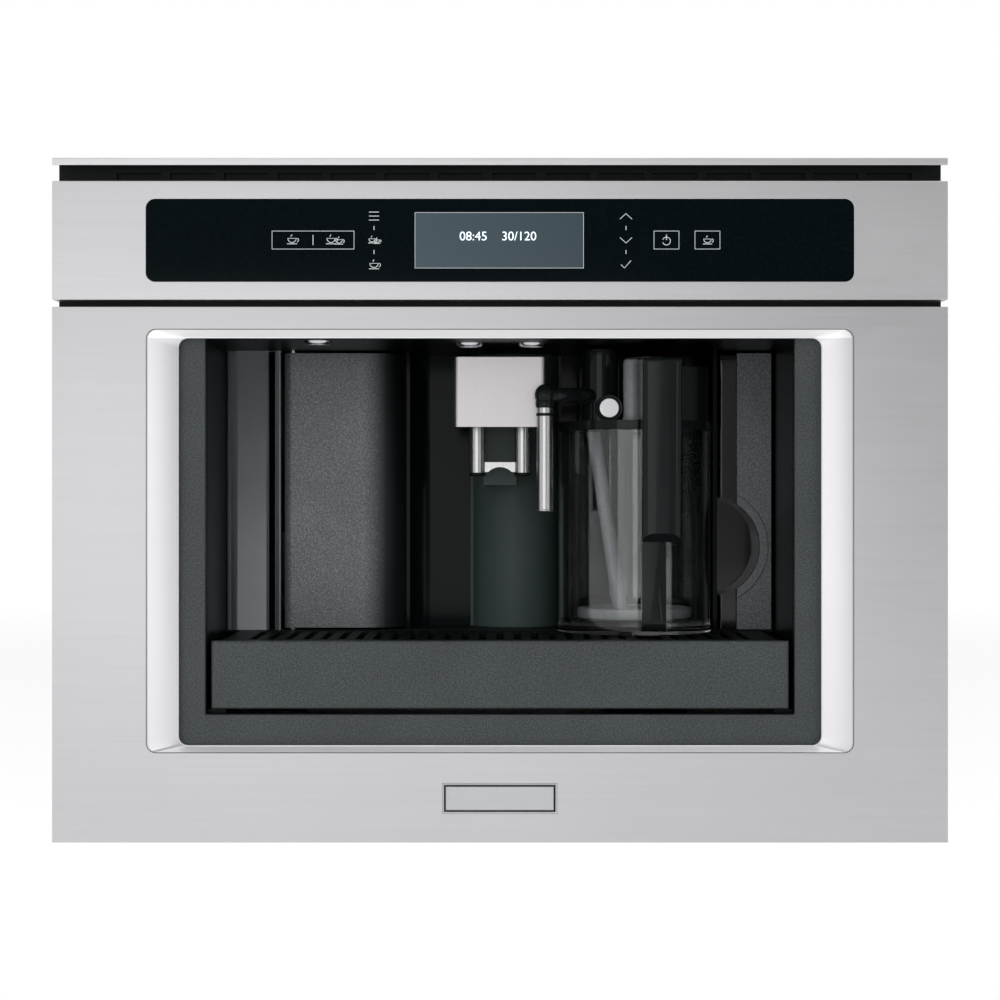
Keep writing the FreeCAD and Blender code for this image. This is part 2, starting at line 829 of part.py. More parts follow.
def side_panel(label, side):
    """A side sheet with folded edges at the front and the top, and a row of louvres."""
    outer = d.case_half
    panel = Piece(label)
    panel.pad("YZ", side * CASE_IN, side * outer, rect(CASE_FRONT, BACK, d.foot_tall, CASE_TOP))
    inward = CASE_IN - d.case_flange
    above = rect(side * inward, side * CASE_IN, CASE_FRONT, REAR_INNER)
    panel.pad("XY", ROOF_UNDER - GAUGE, ROOF_UNDER, above)
    ahead = rect(side * inward, side * CASE_IN, d.foot_tall + d.pan_lip, ROOF_UNDER - GAUGE)
    panel.pad("XZ", CASE_FRONT, CASE_FRONT + GAUGE, ahead)
    start = BACK - d.side_vent_back
    vent_row(panel, "YZ", start, d.side_vent_height, side * CASE_IN, side * outer)


def vent_row(piece, plane, start, level, near, far):
    """A row of upright slots through a sheet."""
    piece.cut(plane, near, far, rect(start, start + d.vent_wide, level, level + d.vent_tall))
    piece.repeat(d.vent_pitch, d.vent_count, "Y" if plane == "YZ" else "X")


def rear_panel():
    """The back sheet, with the socket's cut-out and two rows of slots."""
    panel = Piece("rear_panel")
    panel.pad("XZ", REAR_INNER, BACK, rect(-CASE_IN, CASE_IN, d.foot_tall, ROOF_UNDER))
    half_wide = d.inlet_wide / 2 - d.inlet_flange
    half_tall = d.inlet_tall / 2 - d.inlet_flange
    socket = rect(
        d.inlet_across - half_wide,
        d.inlet_across + half_wide,
        d.inlet_height - half_tall,
        d.inlet_height + half_tall,
    )
    panel.cut("XZ", REAR_INNER, BACK, socket)
    start = -d.vent_pitch * d.vent_count / 2
    vent_row(panel, "XZ", start, CASE_TOP - d.rear_vent_drop, REAR_INNER, BACK)


def top_panel():
    """The roof of the case, with the bean opening, its two hinge lugs and the knob's hole."""
    roof = cuboid("top_panel", -CASE_IN, CASE_IN, CASE_FRONT, REAR_INNER, ROOF_UNDER, CASE_TOP)
    half_wide = d.hopper_wide / 2 - d.hopper_wall
    half_deep = d.hopper_deep / 2 - d.hopper_wall
    x, y = d.grinder_across, GRINDER_Y
    opening = rect(x - half_wide, x + half_wide, y - half_deep, y + half_deep)
    shaft = circle(KNOB_ACROSS, y, d.shaft_radius + d.play)
    roof.cut("XY", ROOF_UNDER, CASE_TOP, opening)
    roof.cut("XY", ROOF_UNDER, CASE_TOP, shaft)
    for side in (-1, 1):
        inner = x + side * (LID_HALF - d.lug_thick - d.play)
        outer = x + side * (LID_HALF - 2 * d.lug_thick - d.play)
        half = d.lid_barrel - d.play
        front, back = BARREL_BACK - half, BARREL_BACK + half
        lug = rect(front, back, CASE_TOP, BARREL_LEVEL + d.lid_pin)
        roof.pad("YZ", inner, outer, lug)
        roof.cut("YZ", inner, outer, circle(BARREL_BACK, BARREL_LEVEL, d.lid_pin + d.play))


LID_HALF = d.hopper_wide / 2 + d.bean_lid_lap
LID_UNDER = CASE_TOP + d.play
BARREL_LEVEL = LID_UNDER + d.lid_barrel
BARREL_BACK = GRINDER_Y + d.hopper_deep / 2 + d.bean_lid_lap + d.lid_barrel + d.play
KNOB_ACROSS = d.grinder_across + d.hopper_wide / 2 + d.knob_offset


def bean_lid():
    """A flat lid with a raised rim inside the opening and barrels at its rear corners."""
    x, y = d.grinder_across, GRINDER_Y
    deep = d.hopper_deep / 2 + d.bean_lid_lap
    top = LID_UNDER + d.bean_lid_thick
    lid = Piece("bean_lid")
    lid.pad("XY", LID_UNDER, top, rect(x - LID_HALF, x + LID_HALF, y - deep, y + deep))
    for side in (-1, 1):
        outer = x + side * LID_HALF
        inner = x + side * (LID_HALF - d.lug_thick)
        barrel = circle(BARREL_BACK, BARREL_LEVEL, d.lid_barrel)
        lid.pad("YZ", inner, outer, barrel)
        strap = rect(y + deep - d.strap_long, BARREL_BACK, LID_UNDER, BARREL_LEVEL)
        lid.pad("YZ", inner, outer, strap)
        pin = circle(BARREL_BACK, BARREL_LEVEL, d.lid_pin)
        lid.pad("YZ", x + side * (LID_HALF - 2 * d.lug_thick), inner, pin)


def grind_knob():
    """A flat knob with a grip across it, on a shaft through the roof."""
    knob = Piece("grind_knob", KNOB_ACROSS, GRINDER_Y, LID_UNDER)
    knob.pad("XY", 0, d.knob_tall / 2, circle(0, 0, d.knob_radius))
    long, wide = d.knob_grip_long / 2, d.knob_grip_wide / 2
    grip = rect(-long, long, -wide, wide)
    knob.pad("XY", d.knob_tall / 2, d.knob_tall, grip)
    half = d.shaft_radius * 0.7  # a square shaft in the round hole
    knob.pad("XY", -d.knob_shaft, 0, rect(-half, half, -half, half))


def front_carrier():
    """The moulded frame that everything on the front is fixed to."""
    edge = GAUGE + d.seat
    top = TRIM_BASE + d.trim_tall - edge
    carrier = Piece("front_carrier")
    carrier.pad("XZ", CARRIER_FRONT, CASE_FRONT, rect(-HALF_WIDE + edge, HALF_WIDE - edge, edge, top))
    window = rect(-BEZEL_HALF, BEZEL_HALF, d.bezel_bottom, CEILING)
    carrier.cut("XZ", CARRIER_FRONT, CASE_FRONT, window)
    inner = d.case_half + d.play
    for side in (-1, 1):
        wing = rect(side * inner, side * HALF_WIDE, 0, d.front_tall)
        carrier.cut("XZ", CASE_FRONT - d.wing_step, CASE_FRONT, wing)
    half = d.glass_wide / 2 - d.glass_corner
    tall = d.glass_tall / 2
    seat = FRONT + d.glass_sunk + d.glass_thick
    for level, way in ((GLASS_LEVEL + tall, -1), (GLASS_LEVEL - tall, 1)):
        ledge = rect(-half, half, level, level + way * d.glass_ledge)
        carrier.pad("XZ", seat, CARRIER_FRONT, ledge)
    start = -HALF_WIDE + d.vent_first
    slot = rect(start, start + d.vent_open, FASCIA_TOP + d.vent_edge, TRIM_BASE - d.vent_edge)
    carrier.cut("XZ", CARRIER_FRONT, CASE_FRONT, slot)
    carrier.repeat(d.vent_step, d.front_vents, "X")


def top_trim():
    """The steel strip above the vent, folded back over the carrier."""
    strip = Piece("top_trim")
    strip.pad("XZ", FRONT, FRONT + GAUGE, rect(-HALF_WIDE, HALF_WIDE, TRIM_BASE, d.front_tall))
    fold = rect(-HALF_WIDE, HALF_WIDE, FRONT + GAUGE, CASE_FRONT)
    strip.pad("XY", d.front_tall - GAUGE, d.front_tall, fold)
    strip.fillet(FOLD, lambda at, edge: near(at.y, FRONT) and near(at.z, d.front_tall))


def near(value, size, reach=0.01):
    return abs(value - Size.of(size).value) < reach


def folded_front(label, base, top):
    """A front sheet with all four edges folded back to the carrier."""
    panel = Piece(label)
    panel.pad("XZ", FRONT, CARRIER_FRONT, rect(-HALF_WIDE, HALF_WIDE, base, top))
    inside = rect(-HALF_WIDE + GAUGE, HALF_WIDE - GAUGE, base + GAUGE, top - GAUGE)
    panel.cut("XZ", FRONT + GAUGE, CARRIER_FRONT, inside)
    return panel


def control_fascia():
    """The upper steel panel with the opening for the touch glass."""
    panel = folded_front("control_fascia", FASCIA_BASE, FASCIA_TOP)
    panel.cut("XZ", FRONT, FRONT + GAUGE, glass_outline(d.seat))
    panel.fillet(FOLD, lambda at, edge: near(at.y, FRONT) and near(at.z, FASCIA_TOP))


def glass_outline(play):
    half = d.glass_wide / 2 + play
    tall = d.glass_tall / 2 + play
    return rect(-half, half, GLASS_LEVEL - tall, GLASS_LEVEL + tall, d.glass_corner + play)


def control_glass():
    start = FRONT + d.glass_sunk
    glass = Piece("control_glass")
    glass.pad("XZ", start, start + d.glass_thick, glass_outline(Size.of(0)))


def display_module():
    """The display against the glass, and the circuit board behind it."""
    start = FRONT + d.glass_sunk + d.glass_thick
    board = start + d.display_thick
    module = Piece("display_module")
    half = d.display_wide / 2
    tall = d.display_tall / 2
    module.pad("XZ", start, board, rect(-half, half, GLASS_LEVEL - tall, GLASS_LEVEL + tall))
    half = d.board_wide / 2
    tall = d.board_tall / 2
    module.pad("XZ", board, board + d.board_thick, rect(-half, half, GLASS_LEVEL - tall, GLASS_LEVEL + tall))
    tall = d.chip_tall / 2
    for x in (-half + d.chip_wide, -half / 2, half / 2, half - 2 * d.chip_wide):
        chip = rect(x, x + d.chip_wide, GLASS_LEVEL - tall, GLASS_LEVEL + tall)
        module.pad("XZ", board + d.board_thick, CARRIER_FRONT, chip)


def stamp_outline(deep, grow):
    """The stamped opening: the outer edge, or with deep the inner one, grown by a wall."""
    side = d.slope_side if deep else Size.of(0)
    above = d.slope_top if deep else Size.of(0)
    below = d.slope_bottom if deep else Size.of(0)
    half = d.stamp_wide / 2 - side + grow
    return rect(-half, half, d.stamp_rise + below - grow, STAMP_TOP - above + grow, d.stamp_corner + grow)


def front_frame():
    """The lower steel panel, stamped inwards with four mitred slopes that end in a collar."""
    panel = folded_front("front_frame", 0, FRAME_TOP)
    deep = FRONT + d.slope_deep
    back = FRONT + d.collar_deep
    wall = d.slope_wall
    slopes = [(FRONT, stamp_outline(False, wall)), (deep, stamp_outline(True, wall))]
    panel.loft("AdditiveLoft", "XZ", slopes)
    panel.pad("XZ", deep, back, stamp_outline(True, GAUGE))
    hollow = [(FRONT, stamp_outline(False, Size.of(0))), (deep, stamp_outline(True, Size.of(0)))]
    panel.loft("SubtractiveLoft", "XZ", hollow)
    panel.cut("XZ", deep, back, stamp_outline(True, Size.of(0)))


def bezel():
    """The dark frame between the steel slopes and the niche."""
    half = d.stamp_wide / 2 - d.slope_side + d.bezel_lap
    base = d.stamp_rise + d.slope_bottom - d.bezel_lap
    top = STAMP_TOP - d.slope_top + d.bezel_lap
    ring = Piece("bezel")
    ring.pad("XZ", BEZEL_FRONT, CARRIER_FRONT, rect(-half, half, base, top, d.bezel_corner))
    window = rect(-BEZEL_HALF, BEZEL_HALF, d.bezel_bottom, CEILING)
    ring.cut("XZ", BEZEL_FRONT, CARRIER_FRONT, window)


def niche_liner():
    """The niche: two walls, the ceiling, the tray's runners and the pilaster at the left."""
    outer = NICHE_HALF + d.wall_thick
    back = BACK_WALL + d.back_thick
    low = d.bezel_bottom
    shelf_front = DOOR_PLANE + d.back_thick
    liner = Piece("niche_liner")
    for side, end in ((-1, back), (1, TANK_BACK + d.tank_room)):
        wall = poly(
            (CASE_FRONT, low),
            (shelf_front, low),
            (shelf_front, SHELF_TOP),
            (end, SHELF_TOP),
            (end, CEILING + d.ceiling_thick),
            (CASE_FRONT, CEILING + d.ceiling_thick),
        )
        liner.pad("YZ", side * NICHE_HALF, side * outer, wall)
        runner = rect(CASE_FRONT, shelf_front, low, low + d.runner_thick)
        liner.pad("YZ", side * (NICHE_HALF - d.runner_wide), side * NICHE_HALF, runner)
    liner.pad("XY", CEILING, CEILING + d.ceiling_thick, rect(-NICHE_HALF, NICHE_HALF, CASE_FRONT, back))
    left = -NICHE_HALF
    groove = left + d.pilaster_wide
    rib = groove + d.groove_wide
    end = rib + d.rib_wide
    behind = DOOR_PLANE + d.pilaster_deep
    floor = behind - d.groove_floor
    pilaster = poly(
        (left, behind),
        (left, DOOR_PLANE, d.cove_radius),
        (groove, DOOR_PLANE, d.edge_radius),
        (groove, floor),
        (rib, floor),
        (rib, DOOR_PLANE, d.edge_radius),
        (end, DOOR_PLANE, d.edge_radius),
        (end, behind),
    )
    liner.pad("XY", SHELF_TOP, CEILING, pilaster)


def niche_back():
    """The glossy wall behind the cups: curved into its sides, with a round column in it."""
    thick = d.back_thick
    left = DOOR_RIGHT
    right = TANK_LEFT - d.back_gap - thick
    start = DOOR_PLANE + d.door_return + d.return_gap
    tank_front = DOOR_PLANE + thick
    far = BACK_WALL + thick
    small = d.back_corner - thick
    wall = poly(
        (left, start),
        (left + thick, start),
        (left + thick, BACK_WALL, small),
        (right, BACK_WALL, small),
        (right, tank_front),
        (right + thick, tank_front),
        (right + thick, far, d.back_corner),
        (left, far, d.back_corner),
    )
    back = Piece("niche_back")
    back.pad("XY", SHELF_TOP, CEILING, wall)
    x = d.column_across
    back.pad("XY", SHELF_TOP, CEILING, circle(x, COLUMN_BACK, d.column_radius))
    reach = d.column_radius + thick
    back.cut("XY", SHELF_TOP, CEILING, rect(x - reach, x + reach, far, far + 2 * reach))
    back.cut("XY", SHELF_TOP, CEILING, circle(x, COLUMN_BACK, d.column_radius - thick))


DOOR_LEFT = -NICHE_HALF + d.pilaster_wide + d.groove_wide + d.rib_wide + d.door_gap
DOOR_RIGHT = DOOR_LEFT + d.door_wide
HINGE_X = DOOR_LEFT + d.door_thick / 2
HINGE_Y = DOOR_PLANE + d.door_thick / 2
DOOR_BASE = SHELF_TOP + d.door_play
BIN_LEFT = DOOR_LEFT + d.bin_inset
DOOR_TOP = CEILING - d.door_play


def service_door():
    """The door before the brewing unit: flat, then curved back at its free edge."""
    edge = d.door_thick / 2 - d.arc_gap
    inner = DOOR_PLANE + d.door_thick
    outline = poly(
        (DOOR_LEFT, DOOR_PLANE, edge),
        (DOOR_RIGHT, DOOR_PLANE, d.door_corner),
        (DOOR_RIGHT, DOOR_PLANE + d.door_return),
        (DOOR_RIGHT - d.door_lip, DOOR_PLANE + d.door_return),
        (DOOR_RIGHT - d.door_lip, inner, d.door_corner - d.door_thick),
        (DOOR_LEFT, inner, edge),
    )
    door = Piece("service_door")
    door.pad("XY", DOOR_BASE, DOOR_TOP, outline)
    reach = d.pin_reach + d.pin_clear
    socket = circle(HINGE_X, HINGE_Y, d.pin_radius + d.play)
    door.cut("XY", DOOR_BASE, DOOR_BASE + reach, socket)
    door.cut("XY", DOOR_TOP - reach, DOOR_TOP, socket)


def hinge_pins():
    """The two upright pins that the service door turns on."""
    long = d.door_play + d.pin_reach
    low = rod("lower_pin", HINGE_X, HINGE_Y, SHELF_TOP, d.pin_radius, long)
    high = rod("upper_pin", HINGE_X, HINGE_Y, CEILING - long, d.pin_radius, long)
    group("hinge_pins", [low, high])


def inner_shelf():
    """The steel shelf above the tray that carries the tank, the boilers and the brewing unit."""
    front = DOOR_PLANE + d.back_thick
    shelf = cuboid("inner_shelf", -CASE_IN, CASE_IN, front, REAR_INNER, SHELF_BOTTOM, SHELF_TOP)
    left = BIN_LEFT + d.chute_inset
    right = BIN_LEFT + d.bin_wide - d.chute_inset
    start = FRONT + d.bin_front_depth + d.chute_setback
    chute = rect(left, right, start, start + d.chute_deep)
    shelf.cut("XY", SHELF_BOTTOM, SHELF_TOP, chute)
    hoses = [
        circle(d.tank_valve_across, PUMP_Y, d.hose_radius + d.hose_clear),
        circle(d.coffee_boiler_across, PUMP_Y, d.hose_radius + d.hose_clear),
    ]
    shelf.cut("XY", SHELF_BOTTOM, SHELF_TOP, *hoses)


def lamp_lenses():
    spots = [(d.lamp_first, d.lamp_first_depth), (d.lamp_second, d.lamp_depth), (d.lamp_third, d.lamp_depth)]
    lenses = [
        rod(f"lens{n}", x, FRONT + depth, CEILING - d.lamp_proud, d.lamp_radius, d.lamp_proud)
        for n, (x, depth) in enumerate(spots)
    ]
    group("lamp_lenses", lenses)


def drip_tray():
    """The trough that slides on the niche's runners."""
    tray = cuboid("drip_tray", -TRAY_HALF, TRAY_HALF, TRAY_START, TRAY_END, TRAY_BASE, TRAY_RIM)
    wall = d.tray_wall
    inside = rect(-TRAY_HALF + wall, TRAY_HALF - wall, TRAY_START + wall, TRAY_END - wall)
    tray.cut("XY", TRAY_BASE + wall, TRAY_RIM, inside)


def tray_front():
    half = NICHE_HALF - d.niche_side_play - d.tray_gap
    front = Piece("tray_front")
    top = TRAY_BASE + d.tray_front_tall
    front.pad("XZ", TRAY_FRONT, TRAY_START, rect(-half, half, TRAY_BASE, top))
    front.fillet(d.tray_edge, lambda at, edge: near(at.y, TRAY_FRONT), "Chamfer")


def cup_grille():
    """The slotted plate that cups stand on."""
    back = DOOR_PLANE - d.play
    grille = cuboid("cup_grille", -TRAY_HALF, TRAY_HALF, TRAY_START, back, TRAY_RIM, GRILLE_TOP)
    first = -d.slot_pitch * (d.slot_count - 1) / 2
    near_end = TRAY_START + d.slot_margin
    far_end = back - d.slot_margin
    slot = rect(first - d.slot_wide / 2, first + d.slot_wide / 2, near_end, far_end)
    grille.cut("XY", TRAY_RIM, GRILLE_TOP, slot)
    grille.repeat(d.slot_pitch, d.slot_count, "X")


def grounds_bin():
    """The bin for spent coffee, in the rear of the tray."""
    start = FRONT + d.bin_front_depth
    end = start + d.bin_deep
    right = BIN_LEFT + d.bin_wide
    low = TRAY_BASE + d.tray_wall
    top = TRAY_RIM - d.bin_sunk
    bin_body = cuboid("grounds_bin", BIN_LEFT, right, start, end, low, top)
    wall = d.bin_wall
    inside = rect(BIN_LEFT + wall, right - wall, start + wall, end - wall, d.bin_corner)
    bin_body.cut("XY", low + wall, top, inside)


OUTLET_FRONT = FRONT + d.outlet_depth
OUTLET_BACK = OUTLET_FRONT + d.outlet_deep
OUTLET_TOP = CEILING - d.outlet_drop
OUTLET_BASE = OUTLET_TOP - d.outlet_tall
CARRIAGE_BASE = OUTLET_BASE + d.cover_gauge


def spout_cover():
    """The steel box of the coffee outlet, open below and behind."""
    half = d.outlet_half
    top = OUTLET_TOP
    cover = cuboid("spout_cover", -half, half, OUTLET_FRONT, OUTLET_BACK, OUTLET_BASE, top)
    cover.fillet(d.outlet_corner, lambda at, edge: near(at.y, OUTLET_FRONT) and near(abs(at.x), half))
    inner = half - d.cover_gauge
    radius = d.outlet_corner - d.cover_gauge
    inside = poly(
        (-inner, OUTLET_FRONT + d.cover_gauge, radius),
        (inner, OUTLET_FRONT + d.cover_gauge, radius),
        (inner, OUTLET_BACK),
        (-inner, OUTLET_BACK),
    )
    cover.cut("XY", OUTLET_BASE, OUTLET_TOP - d.cover_gauge, inside)
    channel = d.guide_half + d.play * 2
    notch = rect(-channel, channel, OUTLET_BACK - d.guide_reach - d.play * 2, OUTLET_BACK)
    cover.cut("XY", OUTLET_TOP - d.cover_gauge, OUTLET_TOP, notch)


def spout_carriage():
    """The block inside the cover. It holds the tubes and slides on the guide."""
    half = d.outlet_half - d.cover_gauge - d.seat
    front = OUTLET_FRONT + d.cover_gauge + d.seat
    top = OUTLET_TOP - d.cover_gauge - d.seat
    radius = d.outlet_corner - d.cover_gauge
    base = CARRIAGE_BASE
    outline = poly(
        (-half, front, radius),
        (half, front, radius),
        (half, OUTLET_BACK),
        (-half, OUTLET_BACK),
    )
    carriage = Piece("spout_carriage")
    carriage.pad("XY", base, top, outline)
    channel = d.guide_half + d.play
    deep = OUTLET_BACK - d.guide_reach - d.play
    carriage.cut("XY", base, top, rect(-channel, channel, deep, OUTLET_BACK))
    tubes = [circle(way * d.spout_pitch / 2, SPOUT_LINE, d.spout_radius) for way in (-1, 1)]
    carriage.cut("XY", base, base + d.spout_root, *tubes)


SPOUT_LINE = FRONT + d.spout_depth
SPOUT_TIP = OUTLET_BASE - d.spout_long


def spout_tubes():
    """The two outlet tubes and the arched web between them."""
    tubes = Piece("spout_tubes")
    top = CARRIAGE_BASE + d.spout_root
    spots = [way * d.spout_pitch / 2 for way in (-1, 1)]
    tubes.pad("XY", SPOUT_TIP, top, circle(spots[0], SPOUT_LINE, d.spout_radius))
    half_thick = d.web_thick / 2
    web_base = SPOUT_TIP + d.web_rise
    web = rect(spots[0], spots[1], web_base, web_base + d.web_tall)
    tubes.pad("XZ", SPOUT_LINE - half_thick, SPOUT_LINE + half_thick, web)
    arch = circle(0, web_base - d.spout_pitch / 4, d.spout_pitch / 4 + d.web_tall / 2)
    tubes.cut("XZ", SPOUT_LINE - half_thick, SPOUT_LINE + half_thick, arch)
    tubes.pad("XY", SPOUT_TIP, top, circle(spots[1], SPOUT_LINE, d.spout_radius))
    bores = [circle(spot, SPOUT_LINE, d.spout_bore) for spot in spots]
    tubes.cut("XY", SPOUT_TIP, top, *bores)


def spout_guide():
    """The upright rail on the column that the coffee outlet rides on."""
    guide = Piece("spout_guide")
    start = OUTLET_BACK - d.guide_reach
    root = COLUMN_BACK - d.column_radius + d.guide_root
    base = OUTLET_BASE - d.guide_below
    top = OUTLET_TOP + d.guide_over
    guide.pad("XY", base, top, rect(-d.guide_half, d.guide_half, start, root))
    seat = circle(d.column_across, COLUMN_BACK, d.column_radius + d.seat)
    guide.cut("XY", base, top, seat)


def jug_container():
    """The clear milk jug, turned, with a thick base."""
    radius = d.jug_radius
    inner = radius - d.jug_wall
    jug = Piece("jug_container", JUG_X, JUG_Y, JUG_BASE)
    tall = LID_BASE - JUG_BASE
    wall = poly(
        (0, 0),
        (radius, 0),
        (radius, tall),
        (inner, tall),
        (inner, d.jug_floor),
        (0, d.jug_floor),
    )
    jug.turn("Revolution", wall)


def jug_lid():
    """The jug's head: a round lid with the housing, the tower and the froth chamber on it."""
    head = Piece("jug_lid")
    centre = (JUG_X, JUG_Y)
    head.pad("XY", LID_BASE, HEAD_BASE, circle(*centre, d.jug_radius + d.lid_overhang))
    left, right = JUG_X - d.head_left, JUG_X + d.head_right
    housing = rect(left, right, HEAD_FRONT, HEAD_BACK, d.head_corner)
    head.pad("XY", HEAD_BASE, HEAD_BASE + d.head_tall, housing)
    tower = circle(TOWER_X, TOWER_Y, d.tower_radius)
    head.pad("XY", HEAD_BASE, HEAD_BASE + d.tower_tall, tower)
    dome = circle(DOME_X, DOME_Y, d.dome_radius)
    head.pad("XY", HEAD_BASE, HEAD_BASE + d.dome_tall, dome)
    socket = circle(JUG_X, DOCK_LEVEL, d.dock_radius + d.play)
    head.cut("XZ", HEAD_BACK - d.dock_reach - d.pin_clear, HEAD_BACK, socket)
    start = BUTTON_FACE + d.button_travel
    ring = circle(BUTTON_X, BUTTON_LEVEL, d.button_ring)
    head.pad("XZ", start, start + d.ring_long, ring)
    bore = circle(BUTTON_X, BUTTON_LEVEL, d.button_radius + d.play)
    head.cut("XZ", start, start + d.button_long + d.play, bore)


BUTTON_X = JUG_X - d.button_left
BUTTON_LEVEL = HEAD_BASE + d.button_rise
BUTTON_FACE = TOWER_Y - d.tower_radius - d.button_proud


def clean_button():
    """The round button before the tower that starts the rinse."""
    start = BUTTON_FACE
    end = start + d.button_long
    button = Piece("clean_button")
    button.pad("XZ", start, end, circle(BUTTON_X, BUTTON_LEVEL, d.button_radius))


def jug_handle():
    """The handle: a broad grip above, cut slantwise, and a narrower bar down to the foot."""
    left = JUG_X - d.handle_left
    front = JUG_Y - d.grip_ahead
    top = HEAD_BASE + d.grip_rise
    end = top - d.grip_long
    base = JUG_BASE + d.bar_rise
    back = front + d.grip_thick
    bar = front + d.bar_setback
    bar_back = bar + d.bar_thick
    jug_front = JUG_Y - d.jug_radius + d.handle_root
    knee = end + d.strut_lap
    foot = base + d.bar_foot_tall
    grip = poly(
        (front, top, d.grip_corner),
        (front, end),
        (bar, end - d.slant_front),
        (back, end + d.slant_back),
        (back, HEAD_BASE),
        (jug_front, HEAD_BASE),
        (jug_front, top),
    )
    strut = poly(
        (bar, knee),
        (bar, base, d.strut_outer),
        (jug_front, base),
        (jug_front, foot),
        (bar_back, foot, d.strut_inner),
        (bar_back, knee),
    )
    handle = Piece("jug_handle")
    handle.pad("YZ", left, left + d.grip_wide, grip)
    handle.pad("YZ", left, left + d.bar_wide, strut)
    low = circle(JUG_X, JUG_Y, d.jug_radius + d.seat)
    handle.cut("XY", base, LID_BASE, low)
    dome = circle(DOME_X, DOME_Y, d.dome_radius + d.seat)
    handle.cut("XY", HEAD_BASE, top, dome)
    face = HEAD_FRONT - d.seat
    housing = rect(left, left + d.grip_wide, face, jug_front + d.head_lap)
    handle.cut("XY", HEAD_BASE, top, housing)


def milk_intake_tube():
    """The leaning tube that draws milk from the bottom of the jug."""
    x = JUG_X - d.intake_left
    base = JUG_BASE + d.jug_floor + d.intake_radius
    low = circle(x + d.intake_lean, JUG_Y, d.intake_radius)
    high = circle(x, JUG_Y, d.intake_radius)
    tube = Piece("milk_intake_tube")
    tube.loft("AdditiveLoft", "XY", [(base, low), (LID_BASE - d.seat, high)])


MILK_X = JUG_X - d.milk_tube_left
MILK_LINE = JUG_Y - d.milk_tube_ahead
MILK_ARM = HEAD_BASE + d.milk_arm_rise


def milk_spout_arm():
    """The elbow that carries the milk outlet from the tower."""
    half = d.milk_arm_half
    left = MILK_X - half
    right = JUG_X - d.milk_arm_left
    inner = right - d.milk_arm_wall
    arm = Piece("milk_spout_arm")
    plan = poly(
        (left, MILK_LINE - half, half - d.arc_gap),
        (right, MILK_LINE - half, half),
        (right, TOWER_Y),
        (inner, TOWER_Y),
        (inner, MILK_LINE + half),
        (left, MILK_LINE + half, half - d.arc_gap),
    )
    top = MILK_ARM + d.milk_arm_tall
    arm.pad("XY", MILK_ARM, top, plan)
    seat = circle(TOWER_X, TOWER_Y, d.tower_radius + d.seat)
    arm.cut("XY", MILK_ARM, top, seat)


def milk_spout_tube():
    tube = Piece("milk_spout_tube")
    ring = circle(MILK_X, MILK_LINE, d.milk_tube_radius)
    bore = circle(MILK_X, MILK_LINE, d.milk_tube_bore)
    tip = MILK_ARM - d.milk_tube_long
    tube.pad("XY", tip, MILK_ARM, ring)
    tube.cut("XY", tip, MILK_ARM, bore)


def steam_nozzle():
    """The fixed nozzle that the jug's head plugs onto."""
    start = HEAD_BACK - d.dock_reach
    nozzle = Piece("steam_nozzle", JUG_X, 0, DOCK_LEVEL)
    nozzle.pad("XZ", start, BACK_WALL, circle(0, 0, d.dock_radius))


def water_tank():
    """The slim tank, pulled straight out. The finger scoop is moulded into its front."""
    top = TANK_TOP
    wall = d.tank_wall
    left = TANK_LEFT
    tank = Piece("water_tank")
    tank.pad("XY", TANK_BASE, top, rect(left, TANK_RIGHT, TANK_FRONT, TANK_BACK, d.tank_corner))
    inside = rect(left + wall, TANK_RIGHT - wall, TANK_FRONT + wall, TANK_BACK - wall)
    tank.cut("XY", TANK_BASE + wall, top, inside)
    deep = TANK_FRONT + d.scoop_deep
    radius = d.scoop_radius - d.scoop_rim
    lump = segment(SCOOP_X, SCOOP_LEVEL, radius + wall, left + wall / 2)
    tank.pad("XZ", TANK_FRONT + wall / 2, deep + wall, lump)
    tank.cut("XZ", TANK_FRONT, deep, circle(SCOOP_X, SCOOP_LEVEL, radius))


def tank_front():
    """The grey plate on the tank, notched round the scoop, with a raised rim."""
    left = TANK_RIGHT - d.tank_cover_wide
    plate = Piece("tank_front")
    plate.pad("XZ", DOOR_PLANE, TANK_FRONT, rect(left, TANK_RIGHT, SHELF_TOP + d.play, DOOR_TOP))
    rim = segment(SCOOP_X, SCOOP_LEVEL, d.scoop_radius, left)
    plate.pad("XZ", DOOR_PLANE - d.scoop_proud, TANK_FRONT, rim)
    notch = circle(SCOOP_X, SCOOP_LEVEL, d.scoop_radius - d.scoop_rim)
    plate.cut("XZ", DOOR_PLANE - d.scoop_proud, TANK_FRONT, notch)


def tank_lid():
    """The tank's lid, with a plug that drops inside the walls."""
    top = TANK_TOP
    wall = d.tank_wall + d.play
    lid = Piece("tank_lid")
    cover = rect(TANK_LEFT, TANK_RIGHT, TANK_FRONT, TANK_BACK, d.tank_corner)
    lid.pad("XY", top, top + d.tank_lid_thick, cover)
    plug = rect(TANK_LEFT + wall, TANK_RIGHT - wall, TANK_FRONT + wall, TANK_BACK - wall)
    lid.pad("XY", top - d.plug_tall, top, plug)


